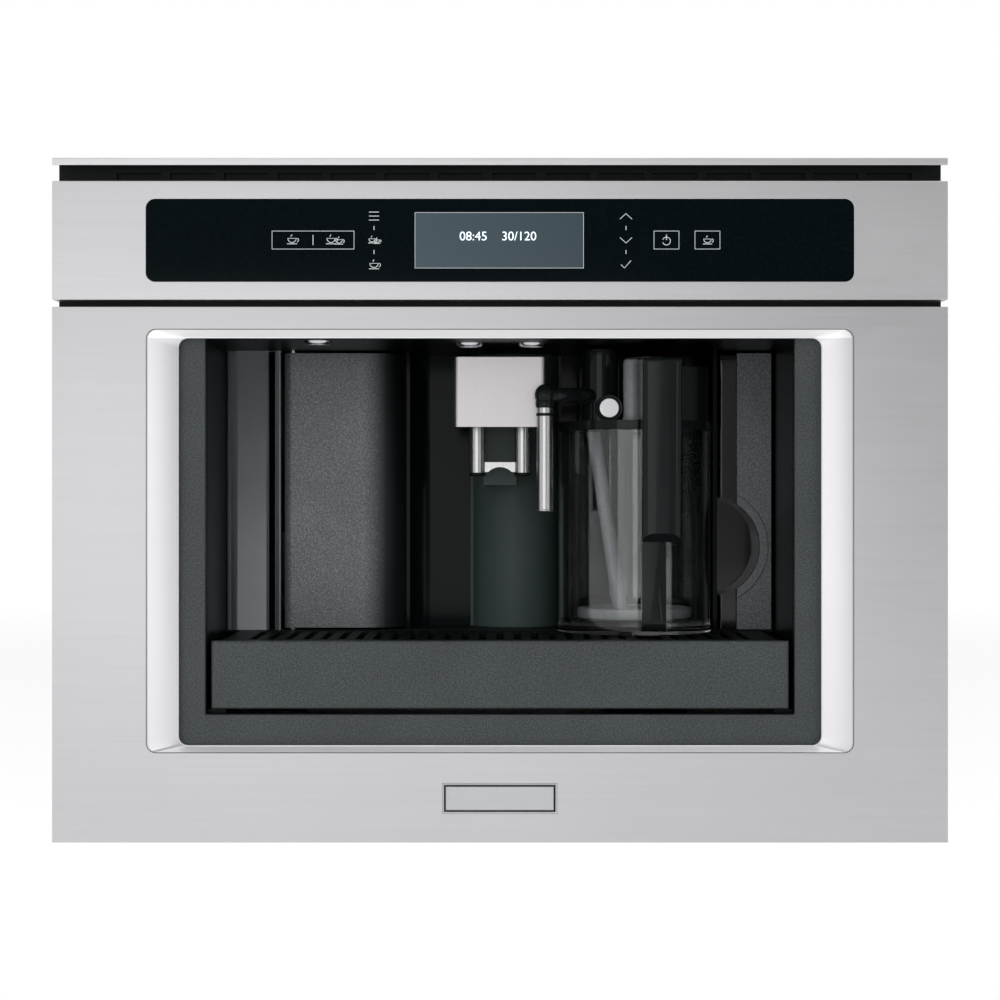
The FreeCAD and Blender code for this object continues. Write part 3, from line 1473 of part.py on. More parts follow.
def funnel(name, shrink, base, bend, top):
    """A straight box on an upturned pyramid, smaller by shrink on each side."""
    x, y = d.grinder_across, GRINDER_Y
    neck = d.hopper_neck / 2 - shrink
    half_wide = d.hopper_wide / 2 - shrink
    half_deep = d.hopper_deep / 2 - shrink
    cone = doc.addObject("Part::Wedge", f"{name}_cone")
    bounds = {
        "Xmin": x - half_wide,
        "Xmax": x + half_wide,
        "X2min": x - neck,
        "X2max": x + neck,
        "Zmin": y - half_deep,
        "Zmax": y + half_deep,
        "Z2min": y - neck,
        "Z2max": y + neck,
        "Ymin": -bend,
        "Ymax": -base,
    }
    cone.Placement = FreeCAD.Placement(FreeCAD.Vector(), FreeCAD.Rotation(FreeCAD.Vector(1, 0, 0), -90))
    for side, size in bounds.items():
        cone.setExpression(side, size.text)
    box = doc.addObject("Part::Box", f"{name}_box")
    for axis, size in zip("xyz", (x - half_wide, y - half_deep, bend)):
        box.setExpression(f"Placement.Base.{axis}", size.text)
    for side, size in (("Length", half_wide * 2), ("Width", half_deep * 2), ("Height", top - bend)):
        box.setExpression(side, size.text)
    whole = doc.addObject("Part::Fuse", name)
    whole.Base, whole.Tool = cone, box
    return whole


def bean_hopper():
    """The funnel under the bean opening."""
    bend = ROOF_UNDER - d.hopper_straight
    hopper = doc.addObject("Part::Cut", "bean_hopper")
    hopper.Base = funnel("hopper_outside", Size.of(0), HOUSING_TOP, bend, ROOF_UNDER)
    hopper.Tool = funnel("hopper_inside", d.hopper_wall, HOUSING_TOP, bend, ROOF_UNDER)
    hopper.Label = "bean_hopper"
    pieces.append(hopper)


def grinder_housing():
    """The grinder's drum, open inside for the burr, on the motor's gear case."""
    base = d.grinder_base
    wall = d.grinder_wall
    radius = d.grinder_radius
    throat = d.hopper_neck / 2 - d.hopper_wall
    tall = d.grinder_tall
    drum = Piece("grinder_housing", d.grinder_across, GRINDER_Y, base)
    shell = poly(
        (d.shaft_radius + d.play, 0),
        (radius, 0),
        (radius, tall),
        (throat, tall),
        (throat, tall - d.throat_tall),
        (radius - wall, tall - d.throat_tall),
        (radius - wall, wall),
        (d.shaft_radius + d.play, wall),
    )
    drum.turn("Revolution", shell)


def lower_burr():
    """The turning burr on the motor's shaft, with a hexagonal nut towards the beans."""
    base = d.grinder_base + d.grinder_wall + d.play
    burr = Piece("lower_burr", d.grinder_across, GRINDER_Y, base)
    burr.pad("XY", 0, d.burr_tall / 2, circle(0, 0, d.burr_radius))
    burr.pad("XY", d.burr_tall / 2, d.burr_tall, hexagon(d.burr_radius / 2))


def grinder_motor():
    """The motor and its gear case, hung under the grinder, on a post to the shelf."""
    top = d.grinder_base
    case = top - d.gearcase_tall
    motor = Piece("grinder_motor", d.grinder_across, GRINDER_Y)
    motor.pad("XY", case, top, hexagon(d.gearcase_radius))
    motor.pad("XY", top, top + d.grinder_wall, circle(0, 0, d.shaft_radius))
    motor.pad("XY", case - d.motor_tall, case, circle(0, 0, d.motor_radius))
    half = d.motor_radius / 2
    motor.pad("XY", SHELF_TOP, case - d.motor_tall, rect(-half, half, -half, half))


BREW_LEFT = DOOR_LEFT + d.bin_inset
BREW_FRONT = FRONT + d.brew_front_depth
BREW_BACK = BREW_FRONT + d.brew_deep
BREW_RIGHT = BREW_LEFT + d.brew_wide
BREW_X = (BREW_LEFT + BREW_RIGHT) / 2
CHAMBER_Y = BREW_FRONT + d.chamber_setback
CHAMBER_BASE = SHELF_TOP + d.chamber_rise
SCREW_Y = CHAMBER_Y + d.screw_setback
BREW_TOP = SHELF_TOP + d.brew_tall
PISTON_BASE = CHAMBER_BASE - d.piston_drop
MOTOR_FOOT = BREW_TOP - d.brew_yoke + d.brew_sheet + d.play


def brew_frame():
    """The brewing unit's frame: two cheeks, a foot, a head and the brewing chamber."""
    sheet_thick = d.brew_sheet
    frame = Piece("brew_frame")
    outline = rect(BREW_FRONT, BREW_BACK, SHELF_TOP, BREW_TOP)
    frame.pad("YZ", BREW_LEFT, BREW_LEFT + sheet_thick, outline)
    frame.pad("YZ", BREW_RIGHT - sheet_thick, BREW_RIGHT, outline)
    low, high = SHELF_TOP + d.back_margin, BREW_TOP - d.back_margin
    back = rect(BREW_LEFT, BREW_RIGHT, low, high)
    frame.pad("XZ", BREW_BACK - sheet_thick, BREW_BACK, back)
    yoke = rect(BREW_LEFT, BREW_RIGHT, CHAMBER_Y, BREW_BACK - sheet_thick)
    level = BREW_TOP - d.brew_yoke
    frame.pad("XY", level, level + sheet_thick, yoke)
    chamber = circle(BREW_X, CHAMBER_Y, d.chamber_radius)
    frame.pad("XY", CHAMBER_BASE, CHAMBER_BASE + d.chamber_tall, chamber)
    ears = rect(BREW_LEFT, BREW_RIGHT, CHAMBER_Y - d.ear_half, CHAMBER_Y + d.ear_half)
    frame.pad("XY", CHAMBER_BASE, CHAMBER_BASE + sheet_thick, ears)
    bore = circle(BREW_X, CHAMBER_Y, d.chamber_radius - d.chamber_wall)
    frame.cut("XY", CHAMBER_BASE, CHAMBER_BASE + d.chamber_tall, bore)
    screw = circle(BREW_X, SCREW_Y, d.screw_radius + d.play)
    frame.cut("XY", level, level + sheet_thick, screw)


def brew_piston():
    """The plunger in the chamber, with the arm and the nut that the screw lifts."""
    radius = d.chamber_radius - d.chamber_wall - d.play
    base = PISTON_BASE
    half = d.arm_half
    piston = Piece("brew_piston")
    arm = base - d.arm_drop
    piston.pad("XY", base, base + d.piston_tall, circle(BREW_X, CHAMBER_Y, radius))
    piston.pad("XY", arm, base, rect(BREW_X - half, BREW_X + half, CHAMBER_Y - half, CHAMBER_Y + half))
    lever = rect(BREW_X - half, BREW_X + half, CHAMBER_Y - half, SCREW_Y + d.nut_reach)
    piston.pad("XY", arm - d.arm_thick, arm, lever)
    nut = circle(BREW_X, SCREW_Y, d.screw_radius + d.play)
    piston.cut("XY", arm - d.arm_thick, arm, nut)


def brew_screw():
    """The upright lead screw beside the chamber, from the shelf to the motor."""
    screw = Piece("brew_screw")
    end = MOTOR_FOOT - d.play
    screw.pad("XY", SHELF_TOP + d.play, end, circle(BREW_X, SCREW_Y, d.screw_radius))


def brew_motor():
    """The gear motor that turns the screw, on the frame's head."""
    base = MOTOR_FOOT + d.motor_foot_thick
    wide, deep = d.motor_foot_half, d.motor_foot_deep
    motor = Piece("brew_motor")
    motor.pad("XY", base, base + d.brew_motor_tall, circle(BREW_X, SCREW_Y, d.brew_motor_radius))
    foot = rect(BREW_X - wide, BREW_X + wide, SCREW_Y - deep, SCREW_Y + deep)
    motor.pad("XY", MOTOR_FOOT, base, foot)


def boiler(label, x, y, radius):
    """A heated vessel: a can on a square foot, with a flat terminal block on top."""
    can = Piece(label, x, y, SHELF_TOP)
    foot = d.boiler_foot
    half = radius / 2
    square = rect(-half, half, -half, half)
    can.pad("XY", 0, foot, square)
    can.pad("XY", foot, foot + d.boiler_tall, circle(0, 0, radius))
    can.pad("XY", foot + d.boiler_tall, foot + d.boiler_tall + d.terminal_tall, square)


def pump():
    """The water pump, lying in a saddle on the floor of the case."""
    body = Piece("pump", 0, PUMP_Y, d.pump_height)
    left = d.pump_left
    right = left + d.pump_long
    body.pad("YZ", left, right, circle(0, 0, d.pump_radius))
    end = d.pump_neck
    body.pad("YZ", left - d.pump_nozzle, right + d.pump_nozzle, rect(-end, end, -end, end))
    saddle = rect(-d.pump_radius, d.pump_radius, PAN_TOP - d.pump_height, 0)
    body.pad("YZ", left + d.saddle_inset, right - d.saddle_inset, saddle)


# Left, right, lower and upper edge of the large components, as shares of the board.
BOARD_BLOCKS = ((0.1, 0.3, 0.15, 0.45), (0.4, 0.55, 0.2, 0.6), (0.62, 0.92, 0.6, 0.87))


def power_board():
    """The power circuit board on four posts on the rear panel."""
    left = -CASE_IN + d.board_inset
    low = d.board_low
    right = left + d.board_long
    high = low + d.board_high
    face = REAR_INNER - d.standoff
    board = Piece("power_board")
    board.pad("XZ", face - d.board_thick, face, rect(left, right, low, high))
    inset, half = d.post_inset, d.post_half
    spots = [(x, z) for x in (left + inset, right - inset) for z in (low + inset, high - inset)]
    posts = [rect(x - half, x + half, z - half, z + half) for x, z in spots]
    board.pad("XZ", face, REAR_INNER, *posts)
    boxes = [
        rect(
            left + d.board_long * start,
            left + d.board_long * end,
            low + d.board_high * base,
            low + d.board_high * top,
        )
        for start, end, base, top in BOARD_BLOCKS
    ]
    skin = face - d.board_thick
    board.pad("XZ", skin - d.block_tall, skin, *boxes)


def mains_inlet():
    """The appliance socket in the rear panel, with its three pins."""
    x, z = d.inlet_across, d.inlet_height
    lip = d.inlet_flange
    half_wide = d.inlet_wide / 2 - lip - d.seat
    half_tall = d.inlet_tall / 2 - lip - d.seat
    inlet = Piece("mains_inlet")
    start = BACK - d.inlet_deep
    inlet.pad("XZ", start, BACK, rect(x - half_wide, x + half_wide, z - half_tall, z + half_tall))
    outer_wide, outer_tall = half_wide + lip, half_tall + lip
    flange = rect(x - outer_wide, x + outer_wide, z - outer_tall, z + outer_tall)
    inlet.pad("XZ", REAR_INNER - d.inlet_plate, REAR_INNER, flange)
    inner_wide, inner_tall = half_wide - lip, half_tall - lip
    well = rect(x - inner_wide, x + inner_wide, z - inner_tall, z + inner_tall)
    inlet.cut("XZ", BACK - d.well_deep, BACK, well)
    half, tall = d.contact_wide / 2, d.contact_tall / 2
    spots = [x + way * d.contact_pitch for way in (-1, 0, 1)]
    contacts = [rect(spot - half, spot + half, z - tall, z + tall) for spot in spots]
    inlet.pad("XZ", BACK - d.well_deep, BACK - d.contact_sunk, *contacts)


def route(points, radius, bend):
    """A hose along straight runs joined by tangent arcs, six-sided to keep it light."""
    corners = [FreeCAD.Vector(*(size.value for size in sizes(*point))) for point in points]
    edges = []
    start = corners[0]
    for before, corner, after in zip(corners, corners[1:], corners[2:]):
        into = corner - (corner - before).normalize() * bend
        out = corner + (after - corner).normalize() * bend
        centre = into + out - corner
        middle = centre + (corner - centre).normalize() * bend
        edges += [Part.LineSegment(start, into).toShape(), Part.Arc(into, middle, out).toShape()]
        start = out
    edges.append(Part.LineSegment(start, corners[-1]).toShape())
    turn = FreeCAD.Rotation(UP, corners[1] - corners[0])
    spoke = FreeCAD.Vector(radius, 0, 0)
    ring = [turn.multVec(FreeCAD.Rotation(UP, 60 * n).multVec(spoke)) for n in range(7)]
    first = Part.makePolygon([corners[0] + point for point in ring])
    return Part.Wire(edges).makePipeShell([first], True, False)


def water_hoses():
    """The hoses from the tank's valve to the pump and on to the coffee boiler."""
    y, z = PUMP_Y, d.pump_height
    valve = d.tank_valve_across
    right = d.pump_left + d.pump_long + d.pump_nozzle
    left = d.pump_left - d.pump_nozzle
    x = d.coffee_boiler_across
    radius, bend = d.hose_radius.value, d.hose_bend.value
    suction = route([(valve, y, SHELF_TOP), (valve, y, z), (right, y, z)], radius, bend)
    delivery = route([(left, y, z), (x, y, z), (x, y, SHELF_TOP)], radius, bend)
    hoses = doc.addObject("Part::Feature", "water_hoses")
    hoses.Shape = Part.makeCompound([suction, delivery])
    hoses.Label = "water_hoses"
    pieces.append(hoses)


def build():
    for label, side in (("left", -1), ("right", 1)):
        rail_outer(f"rail_outer_{label}", side)
        rail_middle(f"rail_middle_{label}", side)
        rail_inner(f"rail_inner_{label}", side)
        side_panel(f"side_panel_{label}", side)
    for make in (
        base_pan,
        feet,
        rear_panel,
        top_panel,
        bean_lid,
        grind_knob,
        front_carrier,
        top_trim,
        control_fascia,
        control_glass,
        display_module,
        front_frame,
        bezel,
        niche_liner,
        niche_back,
        service_door,
        hinge_pins,
        inner_shelf,
        lamp_lenses,
        drip_tray,
        tray_front,
        cup_grille,
        grounds_bin,
        spout_cover,
        spout_carriage,
        spout_tubes,
        spout_guide,
        jug_container,
        jug_lid,
        clean_button,
        jug_handle,
        milk_intake_tube,
        milk_spout_arm,
        milk_spout_tube,
        steam_nozzle,
        water_tank,
        tank_front,
        tank_lid,
        bean_hopper,
        grinder_housing,
        lower_burr,
        grinder_motor,
        brew_frame,
        brew_piston,
        brew_screw,
        brew_motor,
        pump,
        power_board,
        mains_inlet,
        water_hoses,
    ):
        make()
    boiler("coffee_boiler", d.coffee_boiler_across, PUMP_Y, d.coffee_boiler_radius)
    boiler("steam_boiler", d.steam_boiler_across, STEAM_Y, d.steam_boiler_radius)


def check_and_export():
    """Stops at any feature that failed, then writes one STEP file for each sub-part."""
    doc.recompute()
    failed = [o.Label for o in doc.Objects if {"Invalid", "Error"} & set(o.State)]
    failed += [p.Label for p in pieces if p.Shape.isNull() or not p.Shape.isValid()]
    if failed:
        raise RuntimeError(f"not built: {sorted(set(failed))}")
    os.makedirs("parts", exist_ok=True)
    for piece in pieces:
        piece.Shape.exportStep(f"parts/{piece.Label}.step")
    print(len(pieces), "sub-parts written")


build()
check_and_export()
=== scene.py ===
"""Looks of the built-in coffee machine: finishes for every part, and the small forms of its front,
its niche, its milk jug and its case, modelled in place round the fixed frame."""
import json
import math

import bpy
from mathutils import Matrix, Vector


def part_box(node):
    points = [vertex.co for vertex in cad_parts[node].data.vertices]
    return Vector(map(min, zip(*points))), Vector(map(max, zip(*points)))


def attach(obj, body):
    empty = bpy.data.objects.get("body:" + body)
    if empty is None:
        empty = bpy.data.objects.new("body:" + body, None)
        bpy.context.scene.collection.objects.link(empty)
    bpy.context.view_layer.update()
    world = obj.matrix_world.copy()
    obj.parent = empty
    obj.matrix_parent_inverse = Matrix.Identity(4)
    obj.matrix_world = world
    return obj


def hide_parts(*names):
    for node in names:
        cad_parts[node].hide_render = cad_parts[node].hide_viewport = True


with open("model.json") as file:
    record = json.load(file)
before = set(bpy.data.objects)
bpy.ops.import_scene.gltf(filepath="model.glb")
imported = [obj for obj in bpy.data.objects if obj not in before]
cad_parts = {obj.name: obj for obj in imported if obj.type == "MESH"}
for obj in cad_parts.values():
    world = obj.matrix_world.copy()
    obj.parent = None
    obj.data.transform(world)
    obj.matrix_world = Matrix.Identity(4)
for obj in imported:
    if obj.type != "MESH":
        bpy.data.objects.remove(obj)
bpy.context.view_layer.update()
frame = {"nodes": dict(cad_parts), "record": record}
NODES = frame["nodes"]
BODY_OF = {
    node: body for body, nodes in frame["record"]["behaviour"]["bodies"].items() for node in nodes
}
MM = 0.001
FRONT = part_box("front_frame")[0][1]
PIXEL = 0.6641 * MM  # of the front plane, at the photograph's size
CAMERA_AWAY = 1.4  # from the front plane
CAMERA_HIGH = 0.2275  # half the height of the front
STAMP_OUTER = (0.235, 0.0595, 0.341)  # half width, foot and top of the stamped outline
STAMP_INNER = (0.2144, 0.0637, 0.3355)
STAMP_DEEP = 0.0052  # from the front to the foot of the slopes
STAMP_CORNER = 0.0065
PILASTER_X = (-0.1984, -0.1585)  # the niche's pilaster, with the rib beside it
PILASTER_Y = (-0.0795, -0.0700)
DOOR_SHADE = (-0.0990, -0.0825)  # between these the door's paint fades to black
DULL = 0.12  # the specular level of dark plastics, so that the niche stays dark


# ------------------------------------------------------------------ finishes
class Link:
    """A shader socket that sums and products can be written with."""

    def __init__(self, finish, socket):
        self.finish = finish
        self.socket = socket

    def maths(self, operation, first, second):
        return self.finish.node("ShaderNodeMath", {"operation": operation}, {0: first, 1: second})

    def __add__(self, other):
        return self.maths("ADD", self, other)

    def __radd__(self, other):
        return self.maths("ADD", other, self)

    def __sub__(self, other):
        return self.maths("SUBTRACT", self, other)

    def __rsub__(self, other):
        return self.maths("SUBTRACT", other, self)

    def __mul__(self, other):
        return self.maths("MULTIPLY", self, other)

    def __rmul__(self, other):
        return self.maths("MULTIPLY", other, self)

    def __gt__(self, other):
        return self.maths("GREATER_THAN", self, other)

    def __lt__(self, other):
        return self.maths("LESS_THAN", self, other)


class Finish:
    """One material, or the world. node() adds a shader node and returns one of its outputs."""

    def __init__(self, name, colour=None, **settings):
        self.material = bpy.data.materials.new(name)
        self.material.use_nodes = True
        self.tree = self.material.node_tree
        self.surface = self.tree.nodes["Principled BSDF"]
        self.set("Base Color", (*colour, 1.0) if colour else (0.5, 0.5, 0.5, 1.0))
        for socket, value in settings.items():
            self.set(socket.replace("_", " "), value)

    def set(self, socket, value):
        """A plain value or a link, on a socket of the surface shader."""
        self.plug(self.surface.inputs[socket], value)

    def plug(self, socket, value):
        if isinstance(value, Link):
            self.tree.links.new(value.socket, socket)
        else:
            socket.default_value = value

    def node(self, kind, settings=None, inputs=None, output=0):
        node = self.tree.nodes.new(kind)
        for key, value in (settings or {}).items():
            if key == "stops":
                stops = node.color_ramp.elements
                while len(stops) < len(value):
                    stops.new(0.5)
                for stop, (place, shade) in zip(stops, value):
                    stop.position = place
                    stop.color = (*shade, 1.0) if isinstance(shade, tuple) else (shade,) * 3 + (1.0,)
            else:
                setattr(node, key, value)
        for key, value in (inputs or {}).items():
            self.plug(node.inputs[key], value)
        return Link(self, node.outputs[output])

    def place(self, scale=(1, 1, 1), turn=(0, 0, 0)):
        """The object's own coordinates, scaled and turned."""
        where = self.node("ShaderNodeTexCoord", output=3)
        inputs = {"Vector": where, "Scale": scale, "Rotation": turn}
        return self.node("ShaderNodeMapping", None, inputs)

    def axes(self):
        """The object's x, y and z, in metres, as three links."""
        split = self.tree.nodes.new("ShaderNodeSeparateXYZ")
        self.plug(split.inputs[0], self.node("ShaderNodeTexCoord", output=3))
        return [Link(self, split.outputs[n]) for n in range(3)]

    def root(self, value):
        """The square root of a link."""
        return self.node("ShaderNodeMath", {"operation": "SQRT"}, {0: value})

    def noise(self, size, detail=2.0, stretch=(1, 1, 1)):
        """Noise whose grains are about size metres across, or more along a small stretch."""
        scale = tuple(axis / size for axis in stretch)
        inputs = {"Vector": self.place(scale), "Scale": 1.0, "Detail": detail, "Roughness": 0.5}
        return self.node("ShaderNodeTexNoise", None, inputs)

    def ramp(self, factor, *stops):
        """The colour at a factor, between stops of (position, colour)."""
        return self.node("ShaderNodeValToRGB", {"stops": stops}, {"Fac": factor})

    def span(self, factor, low, high, to_low=0.0, to_high=1.0):
        """A value that runs from to_low to to_high while the factor runs from low to high."""
        inputs = {"Value": factor, 1: low, 2: high, 3: to_low, 4: to_high}
        return self.node("ShaderNodeMapRange", None, inputs)

    def blend(self, factor, first, second):
        """A mix of two colours."""
        colours = [(*c, 1.0) if isinstance(c, tuple) else c for c in (first, second)]
        settings = {"data_type": "RGBA"}
        return self.node("ShaderNodeMix", settings, {0: factor, 6: colours[0], 7: colours[1]}, output=2)

    def bump(self, height, depth):
        inputs = {"Height": height, "Distance": depth, "Strength": 1.0}
        self.set("Normal", self.node("ShaderNodeBump", None, inputs))


def brushed(name, colour, stretch, roughness=0.3, spread=0.14, depth=0.00002, slopes=False):
    """Brushed metal: fine lines, long along the axis whose stretch is small. With slopes, the steel is
    paler on the slopes of the stamped frame, as they catch more light in the photograph."""
    finish = Finish(name, colour, Metallic=1.0)
    lines = finish.noise(0.00035, 2.0, stretch)
    bands = finish.noise(0.004, 3.0, stretch)
    cloud = finish.noise(0.12, 3.0)
    light = tuple(min(1.0, part * 1.04) for part in colour)
    dark = tuple(part * 0.92 for part in colour)
    paint = finish.ramp(lines * 0.5 + bands * 0.2 + cloud * 0.3, (0.3, dark), (0.7, light))
    if slopes:
        x, y, z = finish.axes()
        tilted = (y > FRONT + 0.0003) * (y < FRONT + STAMP_DEEP + 0.0004)
        paint = finish.blend(tilted, paint, (0.72, 0.71, 0.73))
        paint = finish.blend(tilted * (z > 0.3352), paint, (0.97, 0.97, 0.98))
    finish.set("Base Color", paint)
    finish.set("Roughness", roughness - spread / 2 + spread * lines + 0.05 * cloud)
    finish.bump(lines + bands * 0.3, depth)
    return finish.material


def moulded(name, colour, roughness=0.45, grain=0.0006, depth=0.00003, **settings):
    """Moulded plastic or paint with a fine grain and faint cloudiness."""
    finish = Finish(name, colour, **settings)
    grains = finish.noise(grain, 3.0)
    cloud = finish.noise(0.06, 3.0)
    light = tuple(min(1.0, part * 1.18) for part in colour)
    dark = tuple(part * 0.84 for part in colour)
    finish.set("Base Color", finish.ramp(grains * 0.6 + cloud * 0.4, (0.3, dark), (0.7, light)))
    finish.set("Roughness", roughness - 0.05 + 0.12 * cloud)
    finish.bump(grains, depth)
    return finish.material


def glossy(name, colour, roughness=0.06):
    """Polished plastic, with a slight unevenness in its gloss."""
    finish = Finish(name, colour)
    finish.surface.inputs["Specular IOR Level"].default_value = 0.15
    smear = finish.noise(0.03, 3.0)
    finish.set("Roughness", roughness + 0.06 * smear)
    finish.set("Base Color", finish.ramp(smear, (0.3, tuple(p * 0.85 for p in colour)), (0.7, colour)))
    finish.bump(finish.noise(0.02, 1.0), 0.00002)
    return finish.material


def clear(name, colour, roughness=0.02):
    """Clear plastic or glass."""
    finish = Finish(name, colour, IOR=1.45)
    finish.surface.inputs["Transmission Weight"].default_value = 1.0
    smear = finish.noise(0.02, 3.0)
    finish.set("Roughness", roughness + 0.04 * smear)
    finish.set("Base Color", finish.ramp(smear, (0.2, tuple(p * 0.96 for p in colour)), (0.8, colour)))
    return finish.material


def polished(name, colour, roughness=0.06):
    finish = Finish(name, colour, Metallic=1.0)
    smear = finish.noise(0.012, 3.0)
    finish.set("Roughness", roughness + 0.08 * smear)
    finish.set("Base Color", finish.ramp(smear, (0.3, tuple(p * 0.92 for p in colour)), (0.7, colour)))
    return finish.material


def metallic_paint(name, colour, shade=None):
    """Dark paint with fine bright flecks. Shade is two places along x, between which the paint turns
    black, to imitate a side that lies in the dark in the photograph."""
    finish = Finish(name, colour, Metallic=0.3)
    flecks = finish.noise(0.0011, 2.0)
    cloud = finish.noise(0.05, 3.0)
    dark = tuple(part * 0.62 for part in colour)
    light = tuple(part * 1.7 for part in colour)
    paint = finish.ramp(flecks * 0.85 + cloud * 0.15, (0.36, dark), (0.5, colour), (0.68, light))
    if shade:
        paint = finish.blend(finish.span(finish.axes()[0], *shade), paint, (0.002, 0.006, 0.006))
    finish.set("Base Color", paint)
    finish.set("Roughness", 0.42 + 0.1 * flecks)
    finish.bump(flecks, 0.00004)
    return finish.material


def niche_finish():
    """Matt black walls, with grey metallic paint on the pilaster at the left. That paint is paler
    than the door's, to make up for the shadow that the wall throws on it."""
    finish = Finish("niche_moulding", (0.012, 0.014, 0.014))
    finish.surface.inputs["Specular IOR Level"].default_value = DULL
    x, y, z = finish.axes()
    grains = finish.noise(0.0007, 3.0)
    cloud = finish.noise(0.05, 2.0)
    paint = finish.ramp(grains * 0.7 + cloud * 0.3, (0.3, (0.31, 0.33, 0.355)), (0.7, (0.47, 0.49, 0.52)))
    black = finish.ramp(cloud, (0.3, (0.0014, 0.003, 0.003)), (0.7, (0.003, 0.006, 0.006)))
    pilaster = (x > PILASTER_X[0]) * (x < PILASTER_X[1]) * (y > PILASTER_Y[0]) * (y < PILASTER_Y[1])
    finish.set("Base Color", finish.blend(pilaster, black, paint))
    finish.set("Metallic", 0.3 * pilaster)
    finish.set("Roughness", 0.30 + 0.14 * pilaster + 0.05 * cloud)
    finish.bump(grains, 0.00003)
    return finish.material


def column_finish():
    """Gloss black with a green cast, and a lighter green-grey on the round column: a painted sheen."""
    finish = Finish("column_gloss", (0.010, 0.016, 0.016))
    finish.surface.inputs["Specular IOR Level"].default_value = 0.08
    x, y, z = finish.axes()
    haze = finish.noise(0.03, 2.0, (1, 1, 0.2))
    column = (x > -0.022) * (x < 0.046) * (y < -0.019)
    # painted sheen: the round column's lighter green-grey
    finish.set("Base Color", finish.blend(column, (0.002, 0.004, 0.004), (0.044, 0.060, 0.058)))
    finish.set("Roughness", 0.10 + 0.06 * haze + 0.16 * column)
    finish.bump(haze, 0.00004)
    return finish.material


def glass_finish():
    """The printed back of the touch glass: black, with a faint dot screen."""
    finish = Finish("touch_glass", (0.001, 0.003, 0.004))
    finish.surface.inputs["Specular IOR Level"].default_value = 0.04
    dots = finish.noise(0.0009, 1.0)
    smear = finish.noise(0.05, 3.0)
    finish.set("Base Color", finish.ramp(dots, (0.4, (0.0006, 0.002, 0.003)), (0.6, (0.0015, 0.004, 0.005))))
    finish.set("Roughness", 0.05 + 0.05 * smear)
    return finish.material


def display_finish():
    """The lit display: slate blue, a little brighter towards its left and its upper edge."""
    finish = Finish("display_light", (0.004, 0.010, 0.014), Roughness=0.2)
    x, y, z = finish.axes()
    rows = finish.node("ShaderNodeMath", {"operation": "SINE"}, {0: z * 9000.0})
    glow = finish.span(x, -0.056, 0.056, 0.75, 0.3) + finish.span(z, 0.381, 0.418, 0.0, 0.15) + rows * 0.03
    finish.set("Emission Color", finish.ramp(glow, (0.3, (0.030, 0.060, 0.076)), (0.9, (0.060, 0.105, 0.130))))
    finish.surface.inputs["Emission Strength"].default_value = 0.5
    return finish.material


def printed(name, colour, strength):
    """Printed or lit marks on the glass."""
    finish = Finish(name, colour, Roughness=0.4)
    finish.set("Emission Color", finish.ramp(finish.noise(0.004), (0.3, colour), (0.7, tuple(c * 0.8 for c in colour))))
    finish.surface.inputs["Emission Strength"].default_value = strength
    return finish.material


def rubber(name, colour):
    finish = Finish(name, colour)
    finish.surface.inputs["Specular IOR Level"].default_value = 0.3
    dust = finish.noise(0.004, 4.0)
    finish.set("Base Color", finish.ramp(dust, (0.35, colour), (0.75, tuple(c * 1.6 for c in colour))))
    finish.set("Roughness", 0.7 + 0.15 * dust)
    finish.bump(finish.noise(0.0008, 3.0), 0.00004)
    return finish.material


def galvanised(name, colour):
    """Zinc-coated sheet, with soft spangles."""
    finish = Finish(name, colour, Metallic=1.0)
    cells = finish.node(
        "ShaderNodeTexVoronoi", None, {"Vector": finish.place((1, 1, 1)), "Scale": 160.0, "Randomness": 1.0}, output=1
    )
    shade = finish.node("ShaderNodeSeparateColor", None, {0: cells})
    cloud = finish.noise(0.05, 4.0)
    light = tuple(min(1.0, part * 1.06) for part in colour)
    dark = tuple(part * 0.86 for part in colour)
    finish.set("Base Color", finish.ramp(shade * 0.25 + cloud * 0.75, (0.2, dark), (0.8, light)))
    finish.set("Roughness", 0.42 + 0.05 * shade + 0.08 * cloud)
    finish.bump(finish.noise(0.002, 3.0), 0.00002)
    return finish.material


def board_finish():
    """Circuit board laminate with a pattern of lighter tracks between darker blocks."""
    finish = Finish("board_laminate", (0.02, 0.10, 0.05), Roughness=0.4)
    tracks = finish.node(
        "ShaderNodeTexBrick",
        {"offset": 0.37},
        {
            "Vector": finish.place((90, 90, 90), (math.radians(90), 0, 0)),
            "Color1": (0.02, 0.13, 0.06, 1),
            "Color2": (0.015, 0.09, 0.045, 1),
            "Mortar": (0.06, 0.22, 0.10, 1),
            "Mortar Size": 0.03,
        },
    )
    finish.set("Base Color", tracks)
    finish.set("Roughness", 0.35 + 0.2 * finish.noise(0.003))
    return finish.material


STAMPED = brushed("stamped_steel", (0.56, 0.552, 0.566), (0.008, 1, 1), 0.36, slopes=True)
# painted light: paler copies of the frame's brushed steel, for the extra light that falls on the fascia and on the top
# trim
STEEL_TOP = brushed("brushed_fascia", (0.63, 0.622, 0.636), (0.008, 1, 1), 0.36)
STEEL_TRIM = brushed("brushed_trim", (0.74, 0.73, 0.745), (0.008, 1, 1), 0.32)
# painted shade: dark steel for the shadow lines along the frame's creases and round the bare plate
SHADOW_LINE = brushed("shadow_line_steel", (0.16, 0.158, 0.16), (0.02, 1, 1), 0.4)
